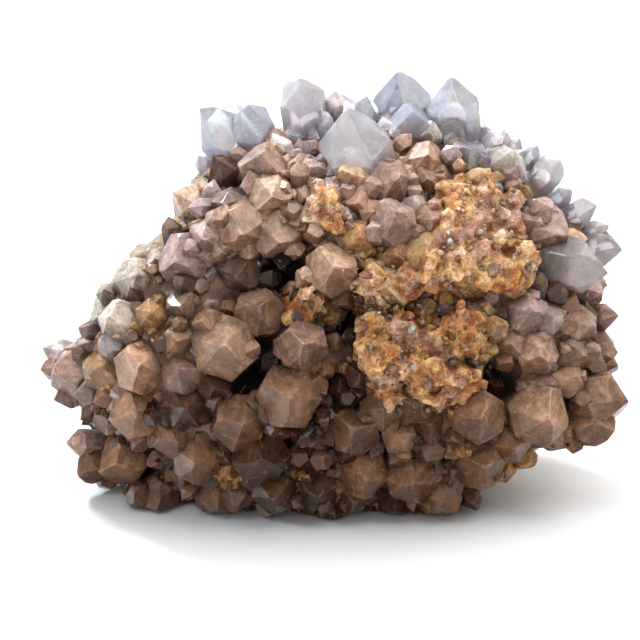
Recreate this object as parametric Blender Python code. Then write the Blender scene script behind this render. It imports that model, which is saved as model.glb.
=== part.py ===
"""Amethyst cluster: a crust of stubby quartz points grown over a lump of iron-stained rock.

Metres, +Z up. The origin is on the flat spot that the rock rests on, and the crystals face -Y.
The crystal sites are read off a front elevation of the piece. The elevation is drawn looking
down by ELEVATION_TILT, in quarter millimetres, counted right and down from the sheet's corner.
"""

import math
import random

import bmesh
import bpy
from mathutils import Matrix, Vector, noise
from mathutils.bvhtree import BVHTree

MM = 0.001
CLUSTER_NAME = "amethyst_cluster"

# The elevation sheet
SHEET_UNIT = 0.25 * MM
SHEET_MIDDLE = 320.0
SHEET_GROUND = 515.0
GROUND_OFFSET = -12.0 * MM
ELEVATION_TILT = math.radians(20.0)
RIGHT = Vector((1.0, 0.0, 0.0))
UP = Vector((0.0, math.sin(ELEVATION_TILT), math.cos(ELEVATION_TILT)))
TOWARD = Vector((0.0, -math.cos(ELEVATION_TILT), math.sin(ELEVATION_TILT)))

# The lump of rock: its middle, its half depths and its rim radius all the way round the sheet,
# every 15 degrees from the right-hand side, anticlockwise
BODY_MIDDLE = Vector((2.5 * MM, 0.0, 39.0 * MM))
FRONT_DEPTH = 34.0 * MM
BACK_DEPTH = 36.0 * MM
BODY_POWER = 2.5
MIDDLE_RIGHT = SHEET_MIDDLE + BODY_MIDDLE.dot(RIGHT) / SHEET_UNIT
MIDDLE_DOWN = SHEET_GROUND - (BODY_MIDDLE.dot(UP) - GROUND_OFFSET) / SHEET_UNIT
RIM_MM = (
    63, 63, 57, 57, 52, 50, 44, 41, 45, 48, 47, 54,
    61, 62, 59, 57, 51, 48, 48, 48, 51, 56, 63, 64,
)
ROCK_DETAIL = 4
CRUST_DETAIL = 3
ROCK_NOISE = 1.6 * MM
ROCK_NOISE_SCALE = 75.0

# Swells and hollows of the front: right, down, spread (sheet units), height in mm. They fade
# out over RELIEF_FADE where the surface turns away from the front
RELIEF_FADE = 0.35
RELIEF = (
    (300, 190, 62, 4.5),
    (245, 230, 40, 3.5),
    (335, 262, 30, 3.0),
    (430, 258, 52, 5.0),
    (385, 335, 34, 3.5),
    (452, 350, 32, 3.5),
    (545, 335, 46, 4.0),
    (585, 255, 34, 2.0),
    (175, 375, 70, 2.5),
    (230, 342, 26, 3.5),
    (292, 398, 36, 4.0),
    (300, 345, 26, 2.5),
    (470, 428, 44, 3.0),
    (540, 412, 34, 3.5),
    (284, 280, 34, -8.0),
    (262, 368, 26, -10.0),
    (348, 318, 26, -7.0),
    (428, 304, 26, -6.0),
    (490, 384, 26, -7.0),
    (420, 400, 30, -3.0),
    (151, 455, 24, -6.0),
    (238, 188, 22, -5.0),
    (381, 446, 18, -5.0),
    (408, 196, 18, -4.0),
    (542, 283, 20, -6.0),
    (291, 432, 18, -6.0),
    (335, 387, 22, -5.0),
)

# Broken faces of the rock behind and below: outward normal, distance from the middle in mm
BREAKS = (
    ((0.05, 1.0, 0.12), 33.0),
    ((-0.55, 0.80, 0.30), 35.0),
    ((0.62, 0.72, -0.10), 45.0),
    ((0.10, 0.75, 0.70), 50.0),
    ((0.30, 0.75, -0.60), 37.0),
    ((-0.70, 0.35, -0.60), 50.0),
    ((0.75, 0.05, -0.66), 54.0),
)
FLAT_BREAK = math.radians(1.0)

# The crust that roots the crystals. It ends round the back, and sooner at the two bare rims:
# angle on the sheet, spread (degrees), how much nearer the front (part of the direction)
CRUST_DEPTH = 2.0 * MM
CRUST_SINK = 2.2 * MM
CRUST_NOISE = 0.7 * MM
CRUST_NOISE_SCALE = 160.0
CRUST_EDGE = -0.30
EDGE_RAMP = 0.16
BARE_RIMS = ((146.0, 17.0, 0.78), (171.0, 17.0, 0.70), (321.0, 18.0, 0.68))
CLEARANCE = 0.35 * MM
FLOOR_GAP = 0.5 * MM

# Quartz points: each face of the tip leans 38.2 degrees from the crystal's length. Alternate
# tip faces are large and small, and their planes meet the length at these heights past the
# rise, as shares of the width
TIP_NORMAL = math.radians(90.0 - 38.2)
LARGE_FACE = (0.0, 0.10)
SMALL_FACE = (0.02, 0.30)
PRISM_FOOT = (1.0, 1.08)
PRISM_SHOULDER = 0.96
PRISM_SQUASH = (0.86, 1.0)
# A drawn crystal is wider than what shows between its neighbours, and stands on a short prism
FULLNESS = 1.28
PRISM_SHARE = 0.30
ROOT_SHARE = 0.30
LEAST_TOWARD = 0.2
SEED = 41

# Crystals: right, down, width (sheet units), lean to the right and lean up (parts of the
# crystal's direction as drawn), rise over the rock as a share of the width. On the crest, where
# the tip faces show, there is also the turn about the crystal's length in degrees
CREST = (
    (226, 134, 54, -0.60, 0.55, 1.00, 0),
    (252, 128, 44, -0.10, 0.62, 0.85, 30),
    (209, 168, 26, -0.55, 0.45, 0.90, 0),
    (264, 170, 46, -0.05, 0.45, 0.60, 20),
    (303, 106, 44, -0.08, 0.52, 0.95, 90),
    (350, 142, 64, -0.20, 0.75, 0.60, 22),
    (402, 104, 52, -0.06, 0.92, 0.80, 8),
    (450, 104, 43, -0.10, 0.90, 0.80, 15),
    (408, 127, 46, 0.05, 0.50, 0.60, 35),
    (451, 131, 38, 0.10, 0.50, 0.60, 10),
    (503, 165, 44, 0.30, 0.50, 0.60, 40),
    (546, 173, 27, 0.60, 0.60, 0.80, 0),
    (582, 213, 26, 0.80, 0.45, 0.80, 25),
)
CRYSTALS = (
    # under the crest
    (422, 165, 38, 0.10, 0.30, 0.60),
    (465, 160, 37, 0.10, 0.40, 0.60),
    (425, 186, 30, 0.00, 0.10, 0.55),
    (390, 187, 45, 0.30, 0.20, 0.60),
    (352, 184, 30, 0.00, 0.15, 0.60),
    (358, 206, 26, 0.00, -0.10, 0.60),
    (312, 178, 30, -0.05, 0.25, 0.60),
    (331, 198, 28, 0.00, 0.10, 0.60),
    (297, 172, 28, -0.20, 0.35, 0.60),
    (326, 222, 26, 0.00, -0.10, 0.55),
    (273, 202, 38, 0.00, -0.05, 0.60),
    (231, 210, 32, -0.30, 0.00, 0.55),
    # the middle
    (213, 243, 38, -0.20, 0.00, 0.62),
    (188, 262, 46, -0.30, -0.05, 0.60),
    (246, 234, 44, -0.05, -0.30, 0.60),
    (280, 240, 42, 0.10, -0.35, 0.60),
    (241, 277, 38, -0.10, -0.20, 0.55),
    (331, 272, 50, 0.05, 0.10, 0.62),
    (296, 226, 30, 0.10, -0.30, 0.55),
    (262, 312, 46, 0.00, 0.22, 0.66),
    (299, 309, 30, 0.00, 0.00, 0.55),
    (324, 312, 26, 0.05, 0.00, 0.55),
    (229, 345, 53, 0.00, 0.05, 0.64),
    (304, 345, 45, 0.05, 0.00, 0.60),
    (390, 227, 42, 0.10, 0.30, 0.80),
    (426, 227, 34, 0.10, 0.10, 0.62),
    (419, 258, 42, 0.00, 0.00, 0.60),
    (357, 243, 30, 0.05, 0.10, 0.60),
    # the ochre mass
    (455, 212, 28, 0.05, 0.20, 0.60),
    (480, 226, 27, 0.10, 0.10, 0.60),
    (503, 215, 26, 0.20, 0.20, 0.60),
    (462, 246, 28, 0.05, 0.00, 0.60),
    (508, 270, 42, 0.30, 0.00, 0.62),
    (460, 280, 30, 0.10, -0.15, 0.60),
    (383, 290, 46, -0.05, 0.10, 0.60),
    (379, 345, 48, 0.00, 0.00, 0.55),
    (368, 375, 26, 0.00, -0.15, 0.60),
    (455, 336, 44, 0.05, 0.05, 0.60),
    (430, 372, 45, 0.05, -0.10, 0.58),
    (432, 394, 30, 0.10, -0.80, 0.90),
    (396, 377, 28, 0.00, -0.10, 0.60),
    # the right-hand side
    (543, 232, 46, 0.72, -0.15, 0.80),
    (570, 267, 48, 0.85, -0.20, 1.00),
    (580, 240, 34, 0.70, 0.10, 0.80),
    (600, 250, 36, 0.85, 0.00, 0.80),
    (588, 292, 27, 0.60, -0.10, 0.70),
    (520, 314, 37, 0.10, 0.10, 0.60),
    (530, 352, 39, 0.10, -0.05, 0.60),
    (505, 343, 27, -0.05, 0.00, 0.60),
    (576, 325, 37, 0.50, 0.00, 0.62),
    (568, 353, 35, 0.40, -0.05, 0.60),
    (597, 345, 32, 0.75, 0.00, 0.70),
    # the left-hand side
    (143, 279, 39, 0.10, 0.20, 0.62),
    (125, 319, 39, -0.30, 0.20, 0.62),
    (160, 316, 34, 0.00, 0.10, 0.60),
    (184, 340, 29, 0.00, 0.00, 0.62),
    (188, 307, 30, -0.10, 0.00, 0.55),
    (60, 353, 27, -0.85, 0.25, 0.90),
    (73, 374, 44, -0.75, 0.00, 0.70),
    (68, 394, 26, -0.70, -0.30, 0.80),
    # the lower left
    (111, 367, 40, -0.10, 0.10, 0.60),
    (147, 366, 47, 0.00, 0.05, 0.60),
    (187, 371, 37, -0.10, 0.25, 0.62),
    (191, 404, 41, 0.00, -0.05, 0.60),
    (219, 385, 29, 0.05, 0.00, 0.60),
    (114, 416, 31, -0.20, 0.10, 0.80),
    (141, 409, 46, 0.00, 0.10, 0.62),
    (92, 404, 26, -0.50, 0.00, 0.70),
    (178, 431, 37, 0.00, 0.10, 0.62),
    (82, 442, 25, -0.80, 0.05, 1.00),
    (91, 468, 27, -0.60, -0.45, 0.80),
    (124, 458, 52, -0.20, -0.10, 0.60),
    (200, 456, 44, 0.00, -0.10, 0.60),
    (244, 418, 49, 0.15, -0.05, 0.62),
    (291, 392, 55, 0.05, 0.05, 0.55),
    (262, 451, 48, 0.00, -0.05, 0.58),
    (232, 468, 26, 0.00, -0.15, 0.70),
    (160, 498, 42, -0.10, -0.35, 0.60),
    (219, 496, 38, 0.00, -0.40, 0.62),
    (190, 482, 26, 0.00, -0.25, 0.60),
    (276, 488, 42, 0.00, -0.30, 0.60),
    (318, 487, 38, 0.00, -0.30, 0.60),
    # the lower right
    (352, 427, 44, 0.00, 0.05, 0.62),
    (378, 406, 37, 0.05, 0.05, 0.62),
    (410, 398, 40, 0.00, -0.15, 0.60),
    (397, 433, 31, 0.00, 0.10, 0.80),
    (473, 413, 50, 0.05, -0.05, 0.60),
    (476, 461, 43, 0.10, -0.15, 0.62),
    (408, 474, 45, 0.00, -0.15, 0.66),
    (362, 470, 42, 0.00, -0.15, 0.62),
    (434, 495, 44, 0.00, -0.45, 0.70),
    (393, 500, 33, 0.00, -0.40, 0.60),
    (352, 492, 30, 0.00, -0.40, 0.60),
    (463, 490, 26, 0.10, -0.40, 0.60),
    (533, 412, 57, 0.25, -0.10, 0.62),
    (531, 385, 35, 0.20, 0.15, 0.60),
    (562, 376, 32, 0.40, 0.10, 0.62),
    (594, 397, 43, 0.82, 0.00, 1.10),
    (588, 423, 38, 0.75, -0.25, 1.00),
    (505, 441, 34, 0.20, -0.15, 0.60),
    (447, 388, 26, 0.10, -0.10, 0.60),
)

# Smaller crystals between the drawn ones and round the sides, where the crust has at least
# FILL_COVER of its depth
FILL_TRIES = 3000
FILL_COVER = 0.95
FILL_WIDTH = (8.0 * MM, 14.0 * MM)
FILL_SPACING = 1.04
FILL_RISE = (0.70, 1.00)
FILL_TILT = 0.30
FILL_LOWEST = 2.0 * MM
# The broken rim at the upper left is bare: its two ends on the elevation, the room kept past
# them, and the room between the rim's edge and the next crystal
RIM_LOW = (61.0, 342.0)
RIM_HIGH = (193.0, 174.0)
RIM_PAST = 12.0
RIM_ROOM = 8.0

# Working distances
OUTSIDE = 200.0 * MM
SITE_STEPS = 60
CUT_TOLERANCE = 0.0001 * MM
WELD = 0.02 * MM
FLOOR_BLOCK = (400.0 * MM, 400.0 * MM, 100.0 * MM)

ROCK_COLOUR = (0.33, 0.23, 0.12, 1.0)
ROCK_ROUGHNESS = 0.9
CRYSTAL_COLOUR = (0.46, 0.32, 0.28, 1.0)
CRYSTAL_ROUGHNESS = 0.25
CRYSTAL_IOR = 1.54


def clear_scene():
    for item in list(bpy.data.objects):
        bpy.data.objects.remove(item, do_unlink=True)


def principled(name, colour, roughness, ior=1.5):
    material = bpy.data.materials.new(name)
    material.use_nodes = True
    shader = material.node_tree.nodes["Principled BSDF"]
    shader.inputs["Base Color"].default_value = colour
    shader.inputs["Roughness"].default_value = roughness
    shader.inputs["Metallic"].default_value = 0.0
    shader.inputs["IOR"].default_value = ior
    return material


def new_object(name, mesh_source, collection):
    """Makes an object from a bmesh, which is freed."""
    bmesh.ops.recalc_face_normals(mesh_source, faces=mesh_source.faces)
    mesh = bpy.data.meshes.new(name)
    mesh_source.to_mesh(mesh)
    mesh_source.free()
    item = bpy.data.objects.new(name, mesh)
    collection.objects.link(item)
    return item


def smooth_step(value):
    value = min(max(value, 0.0), 1.0)
    return value * value * (3.0 - 2.0 * value)


def rim_radius(angle):
    """The rock's radius as drawn, at an angle from the right-hand side."""
    steps = len(RIM_MM)
    place = angle / math.tau * steps
    first = math.floor(place)
    blend = smooth_step(place - first)
    low = RIM_MM[first % steps]
    high = RIM_MM[(first + 1) % steps]
    return (low + (high - low) * blend) * MM


def body_radius(direction):
    """The rock's radius from its middle in a direction."""
    across = direction.dot(RIGHT)
    up = direction.dot(UP)
    toward = direction.dot(TOWARD)
    depth = FRONT_DEPTH if toward > 0.0 else BACK_DEPTH
    flat = math.hypot(across, up) / rim_radius(math.atan2(up, across))
    deep = abs(toward) / depth
    radius = (flat ** BODY_POWER + deep ** BODY_POWER) ** (-1.0 / BODY_POWER)
    facing = smooth_step(toward / RELIEF_FADE)
    plain = radius
    for right, down, spread, height in RELIEF:
        off_right = across * plain / SHEET_UNIT - (right - MIDDLE_RIGHT)
        off_down = -up * plain / SHEET_UNIT - (down - MIDDLE_DOWN)
        share = (off_right ** 2 + off_down ** 2) / (spread * spread)
        radius += height * MM * math.exp(-share) * facing
    point = direction * plain
    radius += ROCK_NOISE * noise.noise(point * ROCK_NOISE_SCALE)
    for normal, distance in BREAKS:
        facing_break = direction.dot(Vector(normal).normalized())
        if facing_break > 0.0:
            radius = min(radius, distance * MM / facing_break)
    return radius


def crust_radius(direction):
    """The crust's radius: over the rock where crystals grew and under it elsewhere."""
    angle = math.degrees(math.atan2(direction.dot(UP), direction.dot(RIGHT))) % 360.0
    edge = CRUST_EDGE
    for middle, spread, height in BARE_RIMS:
        edge = max(edge, CRUST_EDGE + height * math.exp(-((angle - middle) / spread) ** 2))
    cover = smooth_step((direction.dot(TOWARD) - edge) / EDGE_RAMP + 0.5)
    radius = body_radius(direction)
    depth = cover * (CRUST_DEPTH + CRUST_SINK) - CRUST_SINK
    depth += cover * CRUST_NOISE * noise.noise(direction * radius * CRUST_NOISE_SCALE)
    return radius + depth


def is_covered(direction, least=0.5):
    return crust_radius(direction) > body_radius(direction) + least * CRUST_DEPTH


def lump(radius_of, detail=ROCK_DETAIL):
    """A closed lump round the body's middle with its surface at radius_of(direction)."""
    source = bmesh.new()
    bmesh.ops.create_icosphere(source, subdivisions=detail, radius=1.0)
    for vertex in source.verts:
        direction = vertex.co.normalized()
        vertex.co = BODY_MIDDLE + direction * radius_of(direction)
    return source


def rock_mesh():
    source = lump(body_radius)
    everything = source.verts[:] + source.edges[:] + source.faces[:]
    bmesh.ops.bisect_plane(
        source,
        geom=everything,
        dist=CUT_TOLERANCE,
        plane_co=(0.0, 0.0, 0.0),
        plane_no=(0.0, 0.0, 1.0),
        clear_inner=True,
    )
    open_edges = [edge for edge in source.edges if edge.is_boundary]
    bmesh.ops.holes_fill(source, edges=open_edges)
    bmesh.ops.dissolve_limit(
        source, angle_limit=FLAT_BREAK, verts=source.verts, edges=source.edges
    )
    return source


def quartz_point(width, rise, root, chance):
    """One crystal: a six-sided prism cut to its unequal tip faces, its length along +Z."""
    source = bmesh.new()
    half = 0.5 * width
    bmesh.ops.create_cone(
        source,
        segments=6,
        cap_ends=True,
        radius1=half * chance.uniform(*PRISM_FOOT),
        radius2=half * PRISM_SHOULDER,
        depth=rise + root + width,
    )
    lift = 0.5 * (rise + root + width) - root
    across = chance.uniform(*PRISM_SQUASH)
    along = chance.uniform(*PRISM_SQUASH)
    place = Matrix.Translation((0.0, 0.0, lift)) @ Matrix.Diagonal((across, along, 1.0, 1.0))
    bmesh.ops.transform(source, matrix=place, verts=source.verts)
    for side in range(6):
        angle = math.radians(60.0 * side)
        slope = Vector((math.cos(angle), math.sin(angle), 0.0)) * math.sin(TIP_NORMAL)
        normal = slope + Vector((0.0, 0.0, math.cos(TIP_NORMAL)))
        reach = LARGE_FACE if side % 2 == 0 else SMALL_FACE
        apex = rise + width * chance.uniform(*reach)
        cut = bmesh.ops.bisect_plane(
            source,
            geom=source.verts[:] + source.edges[:] + source.faces[:],
            dist=CUT_TOLERANCE,
            plane_co=(0.0, 0.0, apex),
            plane_no=normal,
            clear_outer=True,
        )
        loop = [part for part in cut["geom_cut"] if isinstance(part, bmesh.types.BMEdge)]
        if loop:
            bmesh.ops.contextual_create(source, geom=loop)
    return source


def turned_to(axis, spin):
    """The rotation that takes +Z to the axis, after a spin about it."""
    return axis.to_track_quat("Z", "Y").to_matrix().to_4x4() @ Matrix.Rotation(spin, 4, "Z")


def sheet_point(right, down):
    across = (right - SHEET_MIDDLE) * SHEET_UNIT
    up = (SHEET_GROUND - down) * SHEET_UNIT + GROUND_OFFSET
    return RIGHT * across + UP * up


def find_site(tree, right, down):
    """The rock's surface behind a place on the sheet. Past the rock's outline it is the depth
    of the nearest rock toward the middle, kept at the drawn place."""
    middle = BODY_MIDDLE - TOWARD * BODY_MIDDLE.dot(TOWARD)
    wanted = sheet_point(right, down)
    for step in range(SITE_STEPS):
        tried = wanted.lerp(middle, step / SITE_STEPS)
        hit = tree.ray_cast(tried + TOWARD * OUTSIDE, -TOWARD)
        if hit[0] is not None:
            return hit[0] + (wanted - tried)
    return wanted


def placed_crystal(tree, row, spin):
    """Foot, direction, width, rise and spin of a crystal from its row."""
    right, down, size, lean_right, lean_up, rise_share = row
    width = size * SHEET_UNIT * FULLNESS
    rise = size * SHEET_UNIT * (rise_share + PRISM_SHARE)
    lean = lean_right ** 2 + lean_up ** 2
    toward = math.sqrt(max(1.0 - lean, LEAST_TOWARD ** 2))
    axis = (RIGHT * lean_right + UP * lean_up + TOWARD * toward).normalized()
    back = 0.5 * rise / SHEET_UNIT
    foot = find_site(tree, right - lean_right * back, down + lean_up * back)
    return foot, axis, width, rise, spin


def drawn_crystals(tree, chance):
    placed = [placed_crystal(tree, row, math.radians(turn)) for *row, turn in CREST]
    placed += [placed_crystal(tree, row, chance.random() * math.tau) for row in CRYSTALS]
    return placed


def sheet_place(point):
    """Where a point is drawn on the elevation."""
    right = SHEET_MIDDLE + point.dot(RIGHT) / SHEET_UNIT
    down = SHEET_GROUND - (point.dot(UP) - GROUND_OFFSET) / SHEET_UNIT
    return right, down


def is_on_rim(point, half_width):
    """Whether something of this half width reaches the bare rim."""
    right, down = sheet_place(point)
    across = RIM_HIGH[0] - RIM_LOW[0]
    along = RIM_HIGH[1] - RIM_LOW[1]
    length = math.hypot(across, along)
    from_right = right - RIM_LOW[0]
    from_down = down - RIM_LOW[1]
    travelled = (from_right * across + from_down * along) / length
    inward = (from_down * across - from_right * along) / length
    in_reach = -RIM_PAST < travelled < length + RIM_PAST
    return in_reach and inward < half_width / SHEET_UNIT + RIM_ROOM


def filling_crystals(tree, placed, chance):
    """Smaller crystals wherever the crust still has room for them."""
    added = []
    golden = math.pi * (3.0 - math.sqrt(5.0))
    for index in range(FILL_TRIES):
        height = 1.0 - 2.0 * (index + 0.5) / FILL_TRIES
        reach = math.sqrt(1.0 - height * height)
        turn = index * golden
        direction = Vector((reach * math.cos(turn), reach * math.sin(turn), height))
        width = chance.uniform(*FILL_WIDTH)
        rise = width * chance.uniform(*FILL_RISE)
        tilt = Vector([chance.uniform(-FILL_TILT, FILL_TILT) for _ in range(3)])
        spin = chance.random() * math.tau
        if not is_covered(direction, FILL_COVER):
            continue
        hit = tree.ray_cast(BODY_MIDDLE, direction)
        if hit[0] is None or hit[0].z < FILL_LOWEST or is_on_rim(hit[0], 0.5 * width):
            continue
        near = False
        for foot, axis, other_width, other_rise, _ in placed + added:
            body = foot + axis * min(0.5 * other_rise, 0.3 * other_width)
            if (body - hit[0]).length < FILL_SPACING * 0.5 * (width + other_width):
                near = True
                break
        if near:
            continue
        added.append((hit[0], (hit[1] + tilt).normalized(), width, rise, spin))
    return added


def crystals_mesh(placed, chance):
    """All the crystals in one bmesh, still as separate closed bodies."""
    source = bmesh.new()
    for foot, axis, width, rise, spin in placed:
        one = quartz_point(width, rise, ROOT_SHARE * width + CRUST_SINK, chance)
        bmesh.ops.recalc_face_normals(one, faces=one.faces)
        turn = Matrix.Translation(foot) @ turned_to(axis, spin)
        bmesh.ops.transform(one, matrix=turn, verts=one.verts)
        carrier = bpy.data.meshes.new("one_crystal")
        one.to_mesh(carrier)
        one.free()
        source.from_mesh(carrier)
        bpy.data.meshes.remove(carrier)
    return source


def add_boolean(item, other, operation, name, own_overlaps=False):
    modifier = item.modifiers.new(name, "BOOLEAN")
    modifier.operation = operation
    modifier.object = other
    modifier.solver = "EXACT"
    modifier.use_self = own_overlaps


def island_of(start, left):
    """The faces joined to a face by whole edges, taken out of the set of faces left."""
    found = [start]
    left.discard(start)
    for face in found:
        for edge in face.edges:
            if len(edge.link_faces) != 2:
                continue
            for other in edge.link_faces:
                if other in left:
                    left.discard(other)
                    found.append(other)
    return found


def keep_main_body(source):
    """Takes away chips and closed pockets, leaving the largest body."""
    left = set(source.faces)
    islands = []
    while left:
        islands.append(island_of(next(iter(left)), left))
    islands.sort(key=len)
    loose = [face for island in islands[:-1] for face in island]
    bmesh.ops.delete(source, geom=loose, context="FACES")
    alone = [vertex for vertex in source.verts if not vertex.link_faces]
    bmesh.ops.delete(source, geom=alone, context="VERTS")


def applied(item):
    """Replaces an object's mesh by what its modifiers make of it, tidied."""
    depsgraph = bpy.context.evaluated_depsgraph_get()
    mesh = bpy.data.meshes.new_from_object(item.evaluated_get(depsgraph))
    item.modifiers.clear()
    item.data = mesh
    source = bmesh.new()
    source.from_mesh(mesh)
    bmesh.ops.remove_doubles(source, verts=source.verts, dist=WELD)
    bmesh.ops.dissolve_degenerate(source, edges=source.edges, dist=WELD)
    bmesh.ops.dissolve_limit(
        source, angle_limit=FLAT_BREAK, verts=source.verts, edges=source.edges
    )
    bmesh.ops.triangulate(source, faces=source.faces)
    keep_main_body(source)
    source.to_mesh(mesh)
    source.free()


def build():
    clear_scene()
    chance = random.Random(SEED)
    cluster = bpy.data.collections.new(CLUSTER_NAME)
    cutters = bpy.data.collections.new("cutters")
    bpy.context.scene.collection.children.link(cluster)
    bpy.context.scene.collection.children.link(cutters)

    matrix = new_object("matrix", rock_mesh(), cluster)
    matrix.data.materials.append(principled("host_rock", ROCK_COLOUR, ROCK_ROUGHNESS))

    shape = bmesh.new()
    shape.from_mesh(matrix.data)
    tree = BVHTree.FromBMesh(shape)
    shape.free()
    placed = drawn_crystals(tree, chance)
    placed += filling_crystals(tree, placed, chance)

    points = new_object("quartz_points", crystals_mesh(placed, chance), cutters)
    clearance = new_object("rock_clearance", lump(lambda d: body_radius(d) + CLEARANCE), cutters)
    bpy.ops.mesh.primitive_cube_add(size=1.0)
    floor_block = bpy.context.object
    floor_block.name = "floor_block"
    floor_block.dimensions = FLOOR_BLOCK
    floor_block.location = (0.0, 0.0, FLOOR_GAP - 0.5 * FLOOR_BLOCK[2])
    for collection in list(floor_block.users_collection):
        collection.objects.unlink(floor_block)
    cutters.objects.link(floor_block)

    crust = new_object("amethyst_crystals", lump(crust_radius, CRUST_DETAIL), cluster)
    add_boolean(crust, points, "UNION", "grown_together", own_overlaps=True)
    add_boolean(crust, clearance, "DIFFERENCE", "rock_face")
    add_boolean(crust, floor_block, "DIFFERENCE", "floor_clearance")
    bpy.context.view_layer.update()
    applied(crust)
    crust.data.materials.clear()
    crust.data.materials.append(
        principled("amethyst", CRYSTAL_COLOUR, CRYSTAL_ROUGHNESS, CRYSTAL_IOR)
    )
    for cutter in cutters.objects:
        cutter.hide_render = True
        cutter.display_type = "WIRE"


build()
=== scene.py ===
"""Looks of the amethyst cluster: bevelled quartz points of many tints, druse, ochre sugar,
the crust they grew from and the rough host rock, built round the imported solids.

Metres, +Z up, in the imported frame. Sites are read off a front elevation drawn looking down by
ELEVATION_TILT, in quarter millimetres, counted right and down from the sheet's corner.
"""

import math
import random

import bmesh
import bpy
import numpy as np
from mathutils import Matrix, Vector, noise
from mathutils.bvhtree import BVHTree


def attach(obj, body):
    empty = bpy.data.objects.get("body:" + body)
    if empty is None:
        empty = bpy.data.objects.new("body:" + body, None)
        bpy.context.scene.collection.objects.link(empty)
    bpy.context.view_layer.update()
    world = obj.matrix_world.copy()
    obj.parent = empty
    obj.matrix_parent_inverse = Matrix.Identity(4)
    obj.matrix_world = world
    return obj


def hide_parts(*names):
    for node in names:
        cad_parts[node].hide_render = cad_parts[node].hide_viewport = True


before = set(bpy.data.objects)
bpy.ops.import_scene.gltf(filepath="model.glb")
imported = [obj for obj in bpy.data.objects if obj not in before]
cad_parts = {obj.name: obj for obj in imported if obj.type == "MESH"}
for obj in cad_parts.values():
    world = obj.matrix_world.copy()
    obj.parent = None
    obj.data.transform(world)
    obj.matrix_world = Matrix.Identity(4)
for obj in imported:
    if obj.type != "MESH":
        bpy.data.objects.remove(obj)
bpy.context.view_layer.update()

MM = 0.001

# The elevation sheet
SHEET_UNIT = 0.25 * MM
SHEET_MIDDLE = 320.0
SHEET_GROUND = 515.0
GROUND_OFFSET = -12.0 * MM
ELEVATION_TILT = math.radians(20.0)
RIGHT = Vector((1.0, 0.0, 0.0))
UP = Vector((0.0, math.sin(ELEVATION_TILT), math.cos(ELEVATION_TILT)))
TOWARD = Vector((0.0, -math.cos(ELEVATION_TILT), math.sin(ELEVATION_TILT)))

# The lump of rock: its middle, its half depths and its rim radius all the way round the sheet,
# every 15 degrees from the right-hand side, anticlockwise
BODY_MIDDLE = Vector((2.5 * MM, 0.0, 39.0 * MM))
FRONT_DEPTH = 34.0 * MM
BACK_DEPTH = 36.0 * MM
BODY_POWER = 2.5
MIDDLE_RIGHT = SHEET_MIDDLE + BODY_MIDDLE.dot(RIGHT) / SHEET_UNIT
MIDDLE_DOWN = SHEET_GROUND - (BODY_MIDDLE.dot(UP) - GROUND_OFFSET) / SHEET_UNIT
RIM_MM = (
    63, 63, 57, 57, 52, 50, 44, 41, 45, 48, 47, 54,
    61, 62, 59, 57, 51, 48, 48, 48, 51, 56, 63, 64,
)
ROCK_DETAIL = 4
CRUST_DETAIL = 3
ROCK_NOISE = 1.6 * MM
ROCK_NOISE_SCALE = 75.0

# Swells and hollows of the front: right, down, spread (sheet units), height in mm. They fade
# out over RELIEF_FADE where the surface turns away from the front
RELIEF_FADE = 0.35
RELIEF = (
    (300, 190, 62, 4.5),
    (245, 230, 40, 3.5),
    (335, 262, 30, 3.0),
    (430, 258, 52, 5.0),
    (385, 335, 34, 3.5),
    (452, 350, 32, 3.5),
    (545, 335, 46, 4.0),
    (585, 255, 34, 2.0),
    (175, 375, 70, 2.5),
    (230, 342, 26, 3.5),
    (292, 398, 36, 4.0),
    (300, 345, 26, 2.5),
    (470, 428, 44, 3.0),
    (540, 412, 34, 3.5),
    (284, 280, 34, -8.0),
    (262, 368, 26, -10.0),
    (348, 318, 26, -7.0),
    (428, 304, 26, -6.0),
    (490, 384, 26, -7.0),
    (420, 400, 30, -3.0),
    (151, 455, 24, -6.0),
    (238, 188, 22, -5.0),
    (381, 446, 18, -5.0),
    (408, 196, 18, -4.0),
    (542, 283, 20, -6.0),
    (291, 432, 18, -6.0),
    (335, 387, 22, -5.0),
)

# Broken faces of the rock behind and below: outward normal, distance from the middle in mm
BREAKS = (
    ((0.05, 1.0, 0.12), 33.0),
    ((-0.55, 0.80, 0.30), 35.0),
    ((0.62, 0.72, -0.10), 45.0),
    ((0.10, 0.75, 0.70), 50.0),
    ((0.30, 0.75, -0.60), 37.0),
    ((-0.70, 0.35, -0.60), 50.0),
    ((0.75, 0.05, -0.66), 54.0),
)
FLAT_BREAK = math.radians(1.0)

# The crust that roots the crystals. It ends round the back, and sooner at the two bare rims:
# angle on the sheet, spread (degrees), how much nearer the front (part of the direction)
CRUST_DEPTH = 2.0 * MM
CRUST_SINK = 2.2 * MM
CRUST_NOISE = 0.7 * MM
CRUST_NOISE_SCALE = 160.0
CRUST_EDGE = -0.30
EDGE_RAMP = 0.16
BARE_RIMS = ((146.0, 17.0, 0.78), (171.0, 17.0, 0.70), (321.0, 18.0, 0.68))
CLEARANCE = 0.35 * MM
FLOOR_GAP = 0.5 * MM

# Quartz points: each face of the tip leans 38.2 degrees from the crystal's length. Alternate
# tip faces are large and small, and their planes meet the length at these heights past the
# rise, as shares of the width
TIP_NORMAL = math.radians(90.0 - 38.2)
LARGE_FACE = (0.0, 0.10)
SMALL_FACE = (0.02, 0.30)
PRISM_FOOT = (1.0, 1.08)
PRISM_SHOULDER = 0.96
PRISM_SQUASH = (0.86, 1.0)
# A drawn crystal is wider than what shows between its neighbours, and stands on a short prism
FULLNESS = 1.28
PRISM_SHARE = 0.30
ROOT_SHARE = 0.30
LEAST_TOWARD = 0.2
SEED = 41

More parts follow.
